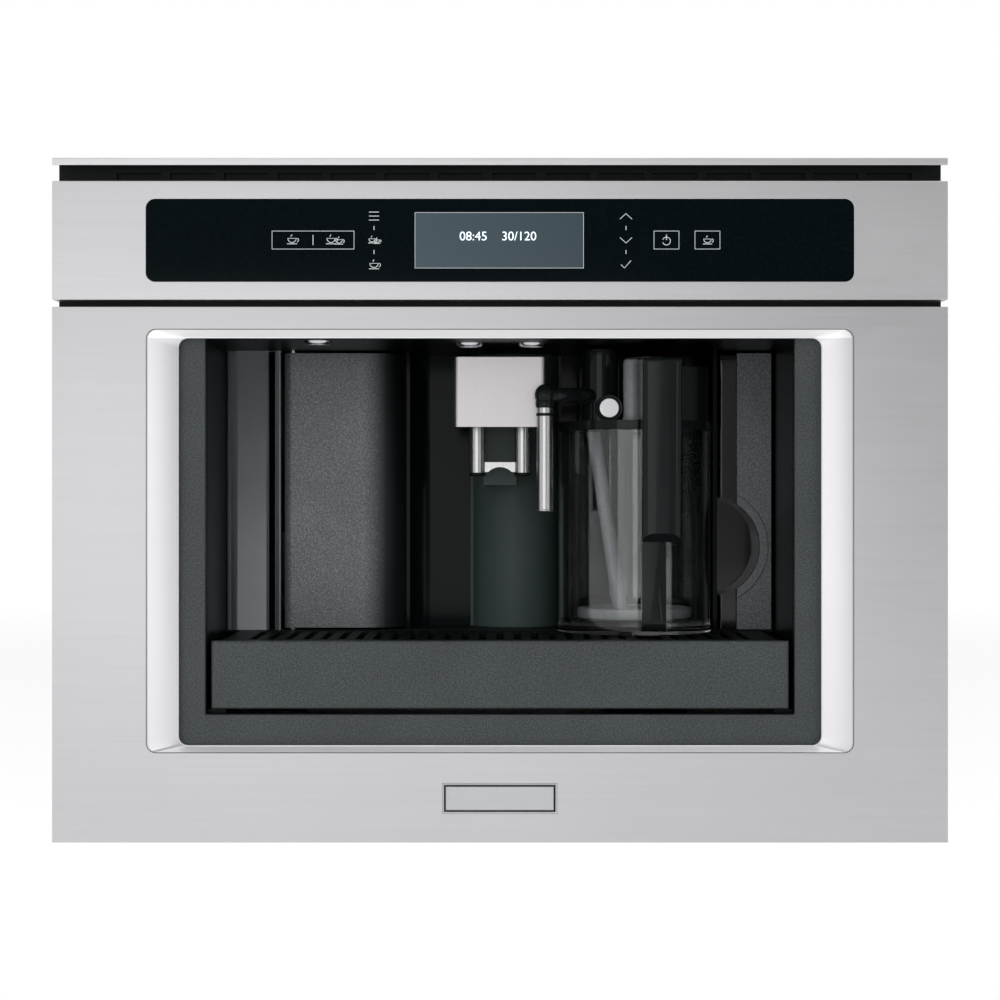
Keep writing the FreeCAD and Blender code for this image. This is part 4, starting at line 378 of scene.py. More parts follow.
# painted highlight: near-white steel for the bright line along the collar's edge
EDGE_HIGHLIGHT = brushed("edge_highlight_steel", (0.95, 0.95, 0.96), (0.02, 1, 1), 0.3)
STEEL_UPRIGHT = brushed("brushed_outlet", (0.56, 0.54, 0.55), (1, 1, 0.01), 0.34)
TUBE_STEEL = brushed("brushed_tube", (0.50, 0.50, 0.51), (1, 1, 0.01), 0.24, depth=0.00001)
GRILLE_BLACK = moulded("grille_coating", (0.0025, 0.0035, 0.0035), 0.5)
GREY = metallic_paint("grey_metallic", (0.036, 0.043, 0.045))
GREY_NICHE = metallic_paint("grey_metallic_niche", (0.115, 0.124, 0.132))
GREY_DOOR = metallic_paint("grey_metallic_door", (0.115, 0.124, 0.132), DOOR_SHADE)
BLACK = moulded("black_moulding", (0.0035, 0.0055, 0.0055), 0.42)
GUIDE = moulded("guide_moulding", (0.038, 0.052, 0.050), 0.36)
GLOSS = glossy("gloss_black", (0.006, 0.008, 0.008))
CHROME = polished("chrome", (0.80, 0.80, 0.82))
SATIN = brushed("satin_button", (0.62, 0.62, 0.64), (0.02, 1, 1), 0.3)
CLEAR = clear("clear_plastic", (0.94, 0.97, 0.96))
SMOKED = clear("smoked_plastic", (0.30, 0.31, 0.32), 0.05)
TANK = clear("tank_plastic", (0.030, 0.036, 0.037), 0.08)
FROSTED = moulded("frosted_plastic", (0.20, 0.205, 0.215), 0.35, 0.003)
PALE = moulded("pale_plastic", (0.42, 0.43, 0.45), 0.35, 0.003)
ZINC = galvanised("zinc_sheet", (0.62, 0.63, 0.64))
SLIDE = galvanised("slide_zinc", (0.70, 0.71, 0.73))
CAST = brushed("cast_metal", (0.50, 0.50, 0.51), (1, 1, 1), 0.45, depth=0.00006)
MOTOR = moulded("motor_paint", (0.05, 0.05, 0.055), 0.5, Metallic=0.4)
TUBE = moulded("milk_tube", (0.42, 0.43, 0.46), 0.3, 0.002)
SILICONE = moulded("hose_silicone", (0.55, 0.54, 0.50), 0.45, 0.003)
BOARD = board_finish()
PLATE = brushed("rating_metal", (0.80, 0.80, 0.81), (0.02, 1, 1), 0.4)
RUBBER = rubber("foot_rubber", (0.015, 0.015, 0.016))
NICHE = niche_finish()
COLUMN = column_finish()
TOUCH = glass_finish()
DISPLAY = display_finish()
MARKS = printed("panel_print", (0.42, 0.44, 0.45), 0.35)
DIGITS = printed("display_digits", (0.62, 0.74, 0.80), 0.9)
LENS = clear("lamp_lens", (0.35, 0.38, 0.37), 0.12)
SCREW = polished("screw_zinc", (0.62, 0.63, 0.66), 0.22)


for dark in (BLACK, GUIDE, GRILLE_BLACK, TANK):
    dark.node_tree.nodes["Principled BSDF"].inputs["Specular IOR Level"].default_value = DULL


# ------------------------------------------------------------------ making pieces
def only(piece):
    """Deselects everything and picks one piece."""
    bpy.ops.object.select_all(action="DESELECT")
    piece.select_set(True)
    bpy.context.view_layer.objects.active = piece


def settle(piece):
    """Puts the piece's object at the origin, with its place in its mesh."""
    only(piece)
    bpy.ops.object.transform_apply(location=True, rotation=True, scale=True)
    return piece


def apply(piece, kind, **settings):
    only(piece)
    modifier = piece.modifiers.new(kind.title(), kind)
    for key, value in settings.items():
        setattr(modifier, key, value)
    bpy.ops.object.modifier_apply(modifier=modifier.name)
    return piece


def round_edges(piece, width, segments=2, angle=20):
    settings = {"width": width, "segments": segments, "limit_method": "ANGLE"}
    return apply(piece, "BEVEL", angle_limit=math.radians(angle), **settings)


def smooth(piece, angle=32):
    """Smooth shading that leaves the broad faces flat."""
    only(piece)
    bpy.ops.object.shade_smooth_by_angle(angle=math.radians(angle))
    return apply(piece, "WEIGHTED_NORMAL", keep_sharp=True)


def hand_over(piece, name, finish, body):
    """Names a finished piece, paints it and puts it on its body."""
    piece.name = name
    piece.data.materials.clear()
    piece.data.materials.append(finish)
    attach(piece, body)
    return piece


def dress(node, finish, edge=0.0, segments=2, angle=32):
    """A node's own form with merged points and rounded edges, in the node's place."""
    source = NODES[node]
    bpy.ops.object.select_all(action="DESELECT")
    piece = source.copy()
    piece.data = source.data.copy()
    piece.parent = None
    piece.matrix_world = source.matrix_world
    bpy.context.scene.collection.objects.link(piece)
    only(piece)
    bpy.ops.object.mode_set(mode="EDIT")
    bpy.ops.mesh.select_all(action="SELECT")
    bpy.ops.mesh.remove_doubles(threshold=0.000002)
    bpy.ops.mesh.dissolve_limited(angle_limit=math.radians(0.5))
    bpy.ops.object.mode_set(mode="OBJECT")
    if edge:
        round_edges(piece, edge, segments)
    smooth(piece, angle)
    hand_over(piece, f"{node}_skin", finish, BODY_OF[node])
    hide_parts(node)
    return piece


def pick(piece, test, kind="FACE"):
    """In edit mode, selects the faces or vertices that pass a test on place and normal."""
    bpy.ops.mesh.select_mode(type=kind)
    bpy.ops.mesh.select_all(action="DESELECT")
    bpy.ops.object.mode_set(mode="OBJECT")
    items = piece.data.polygons if kind == "FACE" else piece.data.vertices
    for item in items:
        place = item.center if kind == "FACE" else item.co
        item.select = test(place, item.normal)
    bpy.ops.object.mode_set(mode="EDIT")


def block(x0, x1, y0, y1, z0, z1):
    """A box between six planes, in metres, to be shaped further."""
    centre = ((x0 + x1) / 2, (y0 + y1) / 2, (z0 + z1) / 2)
    bpy.ops.object.select_all(action="DESELECT")
    bpy.ops.mesh.primitive_cube_add(size=1, location=centre)
    piece = bpy.context.object
    piece.scale = (x1 - x0, y1 - y0, z1 - z0)
    return settle(piece)


TURNS = {
    "up": (0, 0, 0),
    "front": (math.pi / 2, 0, 0),
    "back": (-math.pi / 2, 0, 0),
}


def lathe(profile, centre, name, finish, body, way="up", steps=48):
    """A closed (radius, height) outline spun round the line through centre that points one way."""
    mesh = bpy.data.meshes.new(name)
    piece = bpy.data.objects.new(name, mesh)
    bpy.context.scene.collection.objects.link(piece)
    points = [(radius, 0, height) for radius, height in profile]
    count = len(points)
    mesh.from_pydata(points, [(n, (n + 1) % count) for n in range(count)], [])
    only(piece)
    bpy.ops.object.mode_set(mode="EDIT")
    bpy.ops.mesh.select_all(action="SELECT")
    bpy.ops.mesh.spin(steps=steps, angle=2 * math.pi, center=(0, 0, 0), axis=(0, 0, 1))
    bpy.ops.mesh.select_all(action="SELECT")
    bpy.ops.mesh.remove_doubles(threshold=0.00001)
    bpy.ops.mesh.normals_make_consistent(inside=False)
    bpy.ops.object.mode_set(mode="OBJECT")
    piece.rotation_euler = TURNS[way]
    piece.location = centre
    settle(piece)
    smooth(piece, 40)
    return hand_over(piece, name, finish, body)


def repeat(master, name, places, body):
    """Copies of a piece, each with its own mesh, moved from the master's place."""
    for number, place in enumerate(places):
        piece = master.copy()
        piece.data = master.data.copy()
        piece.parent = None
        bpy.context.scene.collection.objects.link(piece)
        piece.location = place
        settle(piece)
        piece.name = f"{name}_{number + 1}"
        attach(piece, body)


def piped(name, strokes, radius):
    """One mesh of thin tubes along strokes of points; one that ends where it starts is closed."""
    bpy.ops.object.select_all(action="DESELECT")
    curve = bpy.data.curves.new(name, "CURVE")
    curve.dimensions = "3D"
    curve.bevel_depth = radius
    curve.bevel_resolution = 1
    for stroke in strokes:
        closed = len(stroke) > 2 and stroke[0] == stroke[-1]
        points = stroke[:-1] if closed else stroke
        spline = curve.splines.new("POLY")
        spline.points.add(len(points) - 1)
        for point, place in zip(spline.points, points):
            point.co = (*place, 1)
        spline.use_cyclic_u = closed
    piece = bpy.data.objects.new(name, curve)
    bpy.context.scene.collection.objects.link(piece)
    only(piece)
    bpy.ops.object.convert(target="MESH")
    return bpy.context.object


def line_work(name, strokes, width, y, finish, body):
    """Flat marks on a plane that faces the front: each stroke is a list of (x, z), in metres."""
    piece = piped(name, [[(x, 0, z) for x, z in stroke] for stroke in strokes], width / 2)
    piece.scale = (1, 0.12, 1)
    piece.location = (0, y, 0)
    settle(piece)
    return hand_over(piece, name, finish, body)


def wire(name, route, radius, finish, body, closed=True):
    """A thin round line along points in space."""
    piece = piped(name, [[*route, route[0]] if closed else route], radius)
    smooth(piece, 60)
    return hand_over(piece, name, finish, body)


def rounded(half, low, high, corner, y, steps=6):
    """The points of an upright rectangle with round corners, centred on x = 0."""
    points = []
    turns = ((half, high, 0), (-half, high, 90), (-half, low, 180), (half, low, 270))
    for x, z, start in turns:
        centre_x = x - math.copysign(corner, x)
        centre_z = z - corner if z == high else z + corner
        for n in range(steps + 1):
            turn = math.radians(start + 90 * n / steps)
            points.append((centre_x + corner * math.cos(turn), y, centre_z + corner * math.sin(turn)))
    return points


def photo(px, py, depth=0.0):
    """The x and z at which a pixel of the photograph meets a plane behind the front, in metres."""
    spread = (CAMERA_AWAY / MM + depth) / (CAMERA_AWAY / MM)
    return (px - 500) * PIXEL * spread, CAMERA_HIGH + (500 - py) * PIXEL * spread


def arc(px, py, radius, start, end, steps=10):
    """Points on part of a circle, in pixels of the photograph."""
    turns = [math.radians(start + (end - start) * n / steps) for n in range(steps + 1)]
    return [(px + radius * math.cos(t), py - radius * math.sin(t)) for t in turns]


# ------------------------------------------------------------------ the front
def panel_marks():
    """The symbols printed behind the glass: cups, lists, arrows, a tick and two framed keys."""
    strokes = [[(272, 231), (354, 231), (354, 249), (272, 249), (272, 231)], [(313, 235), (313, 245)]]

    def cup(px, py, size):
        bowl = [(px - size, py - size * 0.4), (px + size, py - size * 0.4)]
        bowl += arc(px, py - size * 0.4, size, 0, -180, 8)
        handle = arc(px + size * 1.1, py, size * 0.45, 80, -80, 6)
        saucer = [(px - size * 1.2, py + size * 0.9), (px + size * 1.2, py + size * 0.9)]
        steam = [(px - size * 0.3, py - size * 0.8), (px, py - size * 1.3)]
        return [bowl, handle, saucer, steam]

    strokes += cup(292, 240, 4.2) + cup(331, 240, 4.2) + cup(339, 241, 3.4)
    strokes += [[(369, 212 + 4 * n), (379, 212 + 4 * n)] for n in range(3)]
    strokes += [[(374, 226), (374, 230)], [(374, 250), (374, 254)]]
    strokes += cup(372, 240, 3.2) + cup(377, 241, 2.6) + cup(374, 265, 4.2)
    strokes += [[(620, 219), (626, 213.5), (632, 219)], [(626, 226), (626, 230)]]
    strokes += [[(620, 237.5), (626, 243), (632, 237.5)], [(626, 250), (626, 254)]]
    strokes += [[(621, 264.5), (624.5, 268), (631, 260.5)]]
    for left in (654, 695):
        strokes += [[(left, 231), (left + 25, 231), (left + 25, 249), (left, 249), (left, 231)]]
    strokes += [arc(666.5, 241, 4, 200, 520, 12), [(666.5, 234.5), (666.5, 240)]]
    strokes += cup(707.5, 240.5, 3.8)
    drawn = [[photo(px, py) for px, py in stroke] for stroke in strokes]
    line_work("panel_marks", drawn, 0.00055, FRONT + 0.00022, MARKS, "machine")


def display():
    """The display behind the glass, with its rim and a line of digits."""
    x0, z1 = photo(415, 212.5)
    x1, z0 = photo(583.5, 268)
    face = FRONT + 0.00026
    lit = block(x0, x1, face, face + 0.0004, z0, z1)
    round_edges(lit, 0.0006)
    hand_over(lit, "display_lit", DISPLAY, "machine")
    rim = [(x0, z0), (x1, z0), (x1, z1), (x0, z1), (x0, z0)]
    line_work("display_rim", [rim], 0.0005, face - 0.00004, MARKS, "machine")
    bpy.ops.object.select_all(action="DESELECT")
    bpy.ops.object.text_add(rotation=(math.pi / 2, 0, 0))
    text = bpy.context.object
    text.data.body = "08:45    30/120"
    text.data.size = 0.0084
    text.data.align_x = "CENTER"
    text.data.align_y = "CENTER"
    text.data.extrude = 0.00003
    text.location = (*photo(498, 0)[:1], face - 0.00008, photo(0, 236.5)[1])
    only(text)
    bpy.ops.object.convert(target="MESH")
    settle(bpy.context.object)
    hand_over(bpy.context.object, "display_digits", DIGITS, "machine")


def badge():
    """The bare plate under the niche: a raised rim round a flat field."""
    x0, z1 = photo(442.5, 783.5)
    x1, z0 = photo(557, 813.5)
    plate = block(x0, x1, FRONT - 0.0004, FRONT + 0.0004, z0, z1)
    only(plate)
    bpy.ops.object.mode_set(mode="EDIT")
    pick(plate, lambda place, normal: normal.y < -0.9)
    bpy.ops.mesh.inset(thickness=0.0006, depth=0)
    bpy.ops.mesh.inset(thickness=0.0003, depth=-0.0004)
    bpy.ops.mesh.inset(thickness=0.0014, depth=0)
    bpy.ops.mesh.inset(thickness=0.0003, depth=0.0004)
    bpy.ops.object.mode_set(mode="OBJECT")
    round_edges(plate, 0.00015)
    smooth(plate)
    hand_over(plate, "badge_plate", BADGE, "machine")


BADGE = brushed("badge_metal", (0.50, 0.51, 0.53), (0.02, 1, 1), 0.28)


def vent_shade_sheet():
    """A black sheet behind the vent under the top trim, which keeps the gap dark: painted shade."""
    low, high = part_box("side_panel_left")[1][2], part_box("top_trim")[1][2] - 0.0015
    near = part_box("front_carrier")[1][1] + 0.008
    # painted shade: a black sheet that keeps the vent gap dark
    shade_sheet = block(-0.272, 0.272, near, near + 0.0012, low, high)
    only(shade_sheet)
    bpy.ops.object.mode_set(mode="EDIT")
    pick(shade_sheet, lambda place, normal: normal.y > 0.9)
    bpy.ops.mesh.inset(thickness=0.0012, depth=0)
    bpy.ops.mesh.inset(thickness=0.0003, depth=-0.0005)
    bpy.ops.object.mode_set(mode="OBJECT")
    round_edges(shade_sheet, 0.0003)
    smooth(shade_sheet)
    hand_over(shade_sheet, "vent_shade_sheet", BLACK, "machine")


# ------------------------------------------------------------------ the niche
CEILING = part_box("lamp_lenses")[1][2]


def lamp_rings():
    """The bright rings that hold the three lenses in the ceiling."""
    profile = [(7.2, 0), (7.2, -1.9), (7.8, -2.3), (8.6, -2.0), (9.4, -0.8), (9.6, 0)]
    profile = [(r * MM, z * MM) for r, z in profile]
    front = FRONT
    for number, (x, deep) in enumerate(((-0.124, 0.036), (-0.021, 0.055), (0.022, 0.055))):
        lathe(profile, (x, front + deep, CEILING), f"lamp_ring_{number + 1}", SCREW, "machine", steps=32)


def outlet_shell():
    """The steel cover of the coffee outlet: a sheet folded round the front with soft corners."""
    (x0, y0, z0), (x1, y1, z1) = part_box("spout_cover")
    shell = block(x0, x1, y0, y1, z0, z1)
    only(shell)
    bpy.ops.object.mode_set(mode="EDIT")
    pick(shell, lambda place, normal: abs(normal.z) > 0.9 or normal.y > 0.9)
    bpy.ops.mesh.delete(type="FACE")
    bpy.ops.mesh.select_mode(type="EDGE")
    bpy.ops.mesh.select_all(action="DESELECT")
    bpy.ops.object.mode_set(mode="OBJECT")
    spots = shell.data.vertices
    for edge in shell.data.edges:
        first, last = (spots[n].co for n in edge.vertices)
        edge.select = max(first.y, last.y) < y0 + 0.0001 and abs(first.x - last.x) < 0.0001
    bpy.ops.object.mode_set(mode="EDIT")
    bpy.ops.mesh.bevel(offset=0.0034, segments=6, affect="EDGES")
    bpy.ops.object.mode_set(mode="OBJECT")
    apply(shell, "SOLIDIFY", thickness=0.0012, offset=-1)
    round_edges(shell, 0.0003, angle=40)
    smooth(shell)
    hand_over(shell, "outlet_shell", STEEL_UPRIGHT, "coffee_outlet")
    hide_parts("spout_cover")


def outlet_tips():
    """Dark sleeves at the ends of the coffee tubes."""
    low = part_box("spout_tubes")[0][2]
    profile = [(3.3, -0.4), (4.6, -0.9), (5.7, -0.3), (5.75, 1.3), (5.5, 1.6), (3.3, 1.6)]
    profile = [(r * MM, z * MM) for r, z in profile]
    for number, x in enumerate((-0.016, 0.016)):
        lathe(profile, (x, -0.112, low), f"outlet_tip_{number + 1}", BLACK, "coffee_outlet", steps=32)


def milk_elbow():
    """The black arm that holds the milk outlet: a pipe with a ball over the steel tube."""
    x, y = 0.031, -0.151
    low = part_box("milk_spout_tube")[1][2]
    bpy.ops.object.select_all(action="DESELECT")
    curve = bpy.data.curves.new("milk_elbow", "CURVE")
    curve.dimensions = "3D"
    curve.bevel_depth = 0.0052
    curve.bevel_resolution = 5
    spline = curve.splines.new("NURBS")
    route = [(x, y, low + 0.008), (0.040, -0.150, low + 0.0085)]
    route += [(0.052, -0.142, low + 0.009), (0.064, -0.127, low + 0.009)]
    spline.points.add(len(route) - 1)
    for point, place in zip(spline.points, route):
        point.co = (*place, 1)
    spline.order_u = 3
    spline.use_endpoint_u = True
    pipe = bpy.data.objects.new("milk_elbow", curve)
    bpy.context.scene.collection.objects.link(pipe)
    only(pipe)
    bpy.ops.object.convert(target="MESH")
    pipe = bpy.context.object
    smooth(pipe, 60)
    hand_over(pipe, "milk_elbow_pipe", GLOSS, "milk_jug")
    ball = [(0, -1.0), (6.3, -1.0), (6.6, 0.2), (6.6, 3.2), (6.2, 3.8), (7.0, 5.6)]
    ball += [(7.2, 8.4), (6.4, 11.4), (4.4, 13.8), (2.0, 14.9), (0, 15.1)]
    head = lathe([(r * MM, z * MM) for r, z in ball], (x, y, low + 0.001), "milk_elbow", GLOSS, "milk_jug")
    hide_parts("milk_spout_arm")


def milk_tube_details():
    """Grooves round the steel tube's top and a rolled rim at its end."""
    low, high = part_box("milk_spout_tube")[0][2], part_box("milk_spout_tube")[1][2]
    rim = [(4.3, -0.3), (5.4, -0.3), (5.95, 0.3), (5.95, 1.2), (5.6, 1.7), (4.3, 1.7)]
    lathe([(r * MM, z * MM) for r, z in rim], (0.031, -0.151, low), "milk_tube_rim", TUBE_STEEL, "milk_jug")
    cuff = [(5.6, 0), (6.1, 0.3), (6.1, 1.9), (5.6, 2.2)]
    lathe([(r * MM, z * MM) for r, z in cuff], (0.031, -0.151, high - 0.006), "milk_tube_cuff", BLACK, "milk_jug")


def handle():
    """The jug's handle, with a rounded grip and a facetted strut."""
    skin = dress("jug_handle", GLOSS)
    (x0, y0, z0), (x1, y1, z1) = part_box("jug_handle")
    for face, width, steps in ((y0, 0.0090, 7), (y0 + 0.007, 0.0050, 1)):
        only(skin)
        bpy.ops.object.mode_set(mode="EDIT")
        bpy.ops.mesh.select_mode(type="EDGE")
        bpy.ops.mesh.select_all(action="DESELECT")
        bpy.ops.object.mode_set(mode="OBJECT")
        spots = skin.data.vertices
        for edge in skin.data.edges:
            first, last = (spots[n].co for n in edge.vertices)
            upright = abs(first.x - last.x) < 0.0001 and abs(first.y - last.y) < 0.0001
            edge.select = upright and abs(first.y - face) < 0.0002 and abs(first.z - last.z) > 0.02
        bpy.ops.object.mode_set(mode="EDIT")
        bpy.ops.mesh.bevel(offset=width, segments=steps, affect="EDGES")
        bpy.ops.object.mode_set(mode="OBJECT")
    round_edges(skin, 0.0005, 2, 28)
    smooth(skin, 26)


def jug_details():
    """The frosted chamber beside the button, the pad in the jug's foot and the tower's cap."""
    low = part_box("jug_lid")[0][2] + 0.0065
    wall = [(0, 0), (7.0, 0), (7.0, 1.4), (6.3, 2.0), (6.3, 40.5), (5.6, 42.4), (3.5, 43.6), (0, 43.8)]
    lathe([(r * MM, z * MM) for r, z in wall], (0.0925, -0.1305, low), "froth_chamber", FROSTED, "milk_jug")
    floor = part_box("jug_container")[0][2] + 0.0096
    pad = [(0, 0), (39.0, 0), (40.6, 0.8), (41.0, 3.0), (40.6, 7.2), (39.2, 7.9), (36.8, 7.9), (35.6, 6.4), (0, 6.4)]
    lathe([(r * MM, z * MM) for r, z in pad], (0.0965, -0.091, floor), "jug_foot_pad", PALE, "milk_jug", steps=72)
    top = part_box("jug_lid")[1][2]
    cap = [(12.5, -3.4), (12.9, -3.1), (12.9, -1.6), (12.5, -1.3)]
    lathe([(r * MM, z * MM) for r, z in cap], (0.071, -0.119, top), "tower_ring", GLOSS, "milk_jug")
    seam = [(54.6, 0), (55.9, 0.3), (55.9, 1.2), (54.6, 1.5)]
    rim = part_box("jug_lid")[0][2]
    lathe([(r * MM, z * MM) for r, z in seam], (0.0965, -0.091, rim), "jug_rim", GLOSS, "milk_jug", steps=72)


def button_ring():
    """The black ring round the silver button, with a fine bright line."""
    (x0, y0, z0), (x1, y1, z1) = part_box("clean_button")
    centre = ((x0 + x1) / 2, y0 + 0.0042, (z0 + z1) / 2)
    ring = [(7.4, 0), (7.4, 2.6), (8.0, 3.1), (8.9, 3.1), (9.5, 2.5), (9.7, 0)]
    lathe([(r * MM, z * MM) for r, z in ring], centre, "button_ring", GLOSS, "milk_jug", "front")


# ------------------------------------------------------------------ the case
def case_screws():
    """Pan-headed screws with a round socket, along the edges of the case."""
    head = [(0, 0.5), (1.2, 0.5), (1.3, 1.5), (2.2, 1.5), (2.9, 1.0), (3.2, 0.2), (3.2, -0.2), (0, -0.2)]
    head = [(r * MM, z * MM) for r, z in head]
    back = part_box("rear_panel")[1][1]
    edges = [(x, z) for x in (-0.252, 0.252) for z in (0.03, 0.14, 0.25, 0.36, 0.435)]
    edges += [(x, z) for x in (-0.13, 0.0, 0.13) for z in (0.435,)]
    first = lathe(head, (0, back - 0.0016, 0), "rear_screw", SCREW, "machine", "back", 20)
    repeat(first, "rear_screw", [(x, 0, z) for x, z in edges[1:]], "machine")
    first.location = (edges[0][0], 0, edges[0][1])
    settle(first)
    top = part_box("side_panel_left")[1][2]
    spots = [(x, y) for x in (-0.254, 0.254) for y in (-0.15, -0.03, 0.09, 0.19)]
    first = lathe(head, (0, 0, top - 0.0014), "roof_screw", SCREW, "machine", "up", 20)
    repeat(first, "roof_screw", [(x, y, 0) for x, y in spots[1:]], "machine")
    first.location = (*spots[0], 0)
    settle(first)


def bead(name, x0, x1, y0, y1, z0, z1, edge):
    """A long raised bead pressed out of a sheet of the case."""
    piece = block(x0, x1, y0, y1, z0, z1)
    round_edges(piece, edge, 4, 40)
    smooth(piece, 50)
    hand_over(piece, name, ZINC, "machine")


def case_details():
    """Beads on the side sheets, a bare rating plate behind and the scale round the grind knob."""
    for side, word in ((-1, "left"), (1, "right")):
        low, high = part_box(f"side_panel_{word}")
        wall = high[0] if side > 0 else low[0]
        for number, z in enumerate((0.150, 0.395)):
            x0, x1 = sorted((wall - side * 0.0004, wall + side * 0.0011))
            bead(f"bead_{word}_{number + 1}", x0, x1, -0.150, 0.185, z - 0.006, z + 0.006, 0.0007)
    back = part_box("rear_panel")[1][1]
    plate = block(0.100, 0.190, back - 0.0002, back + 0.0004, 0.150, 0.205)
    only(plate)
    bpy.ops.object.mode_set(mode="EDIT")
    pick(plate, lambda place, normal: normal.y > 0.9)
    bpy.ops.mesh.inset(thickness=0.0022, depth=0)
    bpy.ops.mesh.inset(thickness=0.0004, depth=-0.0002)
    bpy.ops.object.mode_set(mode="OBJECT")
    round_edges(plate, 0.0002)
    smooth(plate)
    hand_over(plate, "rating_plate", PLATE, "machine")
    (x0, y0, _), (x1, y1, _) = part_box("grind_knob")
    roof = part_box("top_panel")[1][2]
    centre_x, centre_y, reach = (x0 + x1) / 2, (y0 + y1) / 2, (x1 - x0) / 2
    ring = [(reach + 0.0035, -0.0003), (reach + 0.0042, -0.0003), (reach + 0.0042, 0.0003), (reach + 0.0035, 0.0003)]
    # the scale and its marks take the glowing panel print, so they glow: painted light
    lathe(ring, (centre_x, centre_y, roof), "knob_scale", MARKS, "machine")
    for number in range(9):
        turn = math.radians(-120 + 30 * number)
        near, far = reach + 0.0042, reach + 0.0068 + 0.0022 * (number % 4 == 0)
        ends = [(centre_x + r * math.sin(turn), centre_y - r * math.cos(turn), roof + 0.0001) for r in (near, far)]
        wire(f"knob_mark_{number + 1}", ends, 0.0004, MARKS, "machine", False)


def stamped_edges():
    """Painted shadow lines along the creases round and across the slopes of the frame, and a painted highlight along
    the edge of the collar.
    """
    deep = FRONT + STAMP_DEEP - 0.0001
    # painted shadow line along the outer crease of the stamped outline
    crease = rounded(*STAMP_OUTER, STAMP_CORNER, FRONT + 0.0003)
    wire("stamp_shadow_line", crease, 0.00042, SHADOW_LINE, "machine")
    # painted highlight along the edge of the collar
    wire("collar_highlight", rounded(*STAMP_INNER, STAMP_CORNER, deep), 0.00034, EDGE_HIGHLIGHT, "machine")
    inward = 0.0012  # the mitres run between the middles of the round corners
    wide, narrow = STAMP_OUTER[0] - inward, STAMP_INNER[0] + inward
    foot = (STAMP_OUTER[1] + inward, STAMP_INNER[1] + inward)
    top = (STAMP_OUTER[2] - inward, STAMP_INNER[2] - inward)
    # painted shadow lines along the mitres at the corners
    for way, side in ((-1, "left"), (1, "right")):
        for number, (outer, inner) in enumerate((foot, top)):
            route = [(way * wide, FRONT + 0.0003, outer), (way * narrow, deep, inner)]
            wire(f"mitre_{side}_{number + 1}", route, 0.0003, SHADOW_LINE, "machine", False)


def badge_edge():
    """A painted shadow line round the bare plate."""
    x0, z1 = photo(442.5, 783.5)
    x1, z0 = photo(557, 813.5)
    near = FRONT + 0.0002
    route = [(x0, near, z0), (x1, near, z0), (x1, near, z1), (x0, near, z1)]
    wire("badge_edge", route, 0.00035, SHADOW_LINE, "machine")


def vent_shade_strip():
    """The black strip in the slots of the carrier, painted shade that hides the bright roof edge behind them."""
    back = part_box("front_carrier")[1][1]
    # painted shade: a black strip that keeps the slots dark
    strip = block(-0.2765, 0.2765, back - 0.0026, back - 0.0003, 0.4415, 0.4475)
    round_edges(strip, 0.0004)
    smooth(strip)
    hand_over(strip, "vent_shade_strip", BLACK, "machine")


# ------------------------------------------------------------------ the stage
def seen_rays(finish):
    """One where a camera, mirror or glass ray looks, and nought for the rest."""
    path = finish.tree.nodes.new("ShaderNodeLightPath")
    rays = ("Is Camera Ray", "Is Glossy Ray", "Is Transmission Ray")
    seen, mirrored, through = (Link(finish, path.outputs[ray]) for ray in rays)
    return seen + mirrored + through


def stage():
    bpy.ops.object.select_all(action="DESELECT")
    bpy.ops.mesh.primitive_plane_add(size=12, location=(0, 1.5, 0))
    floor = bpy.context.object
    floor.name = "floor"
    finish = Finish("floor_paper", (0.86, 0.86, 0.86), Roughness=0.9)
    finish.set("Base Color", finish.ramp(finish.noise(0.2), (0.3, (0.85, 0.85, 0.85)), (0.7, (0.88, 0.88, 0.88))))
    glow = finish.node("ShaderNodeEmission", None, {"Color": (1, 1, 1, 1), "Strength": 1.0})
    x, y, z = finish.axes()
    away = finish.root(x * x + y * y)
    cover = seen_rays(finish) * finish.span(away, 0.35, 1.6, 0.75, 1.0)
    mixed = finish.node(
        "ShaderNodeMixShader", None, {0: cover, 1: Link(finish, finish.surface.outputs[0]), 2: glow}
    )
    finish.plug(finish.tree.nodes["Material Output"].inputs["Surface"], mixed)
    floor.data.materials.append(finish.material)


def lamp(name, place, target, size, power):
    """A white square-edged lamp that looks at the target; its power is in watts."""
    data = bpy.data.lights.new(name, "AREA")
    data.shape = "RECTANGLE"
    data.size, data.size_y = size
    data.energy = power
    light = bpy.data.objects.new(name, data)
    bpy.context.scene.collection.objects.link(light)
    light.location = place
    light.rotation_euler = (Vector(target) - Vector(place)).to_track_quat("-Z", "Y").to_euler()


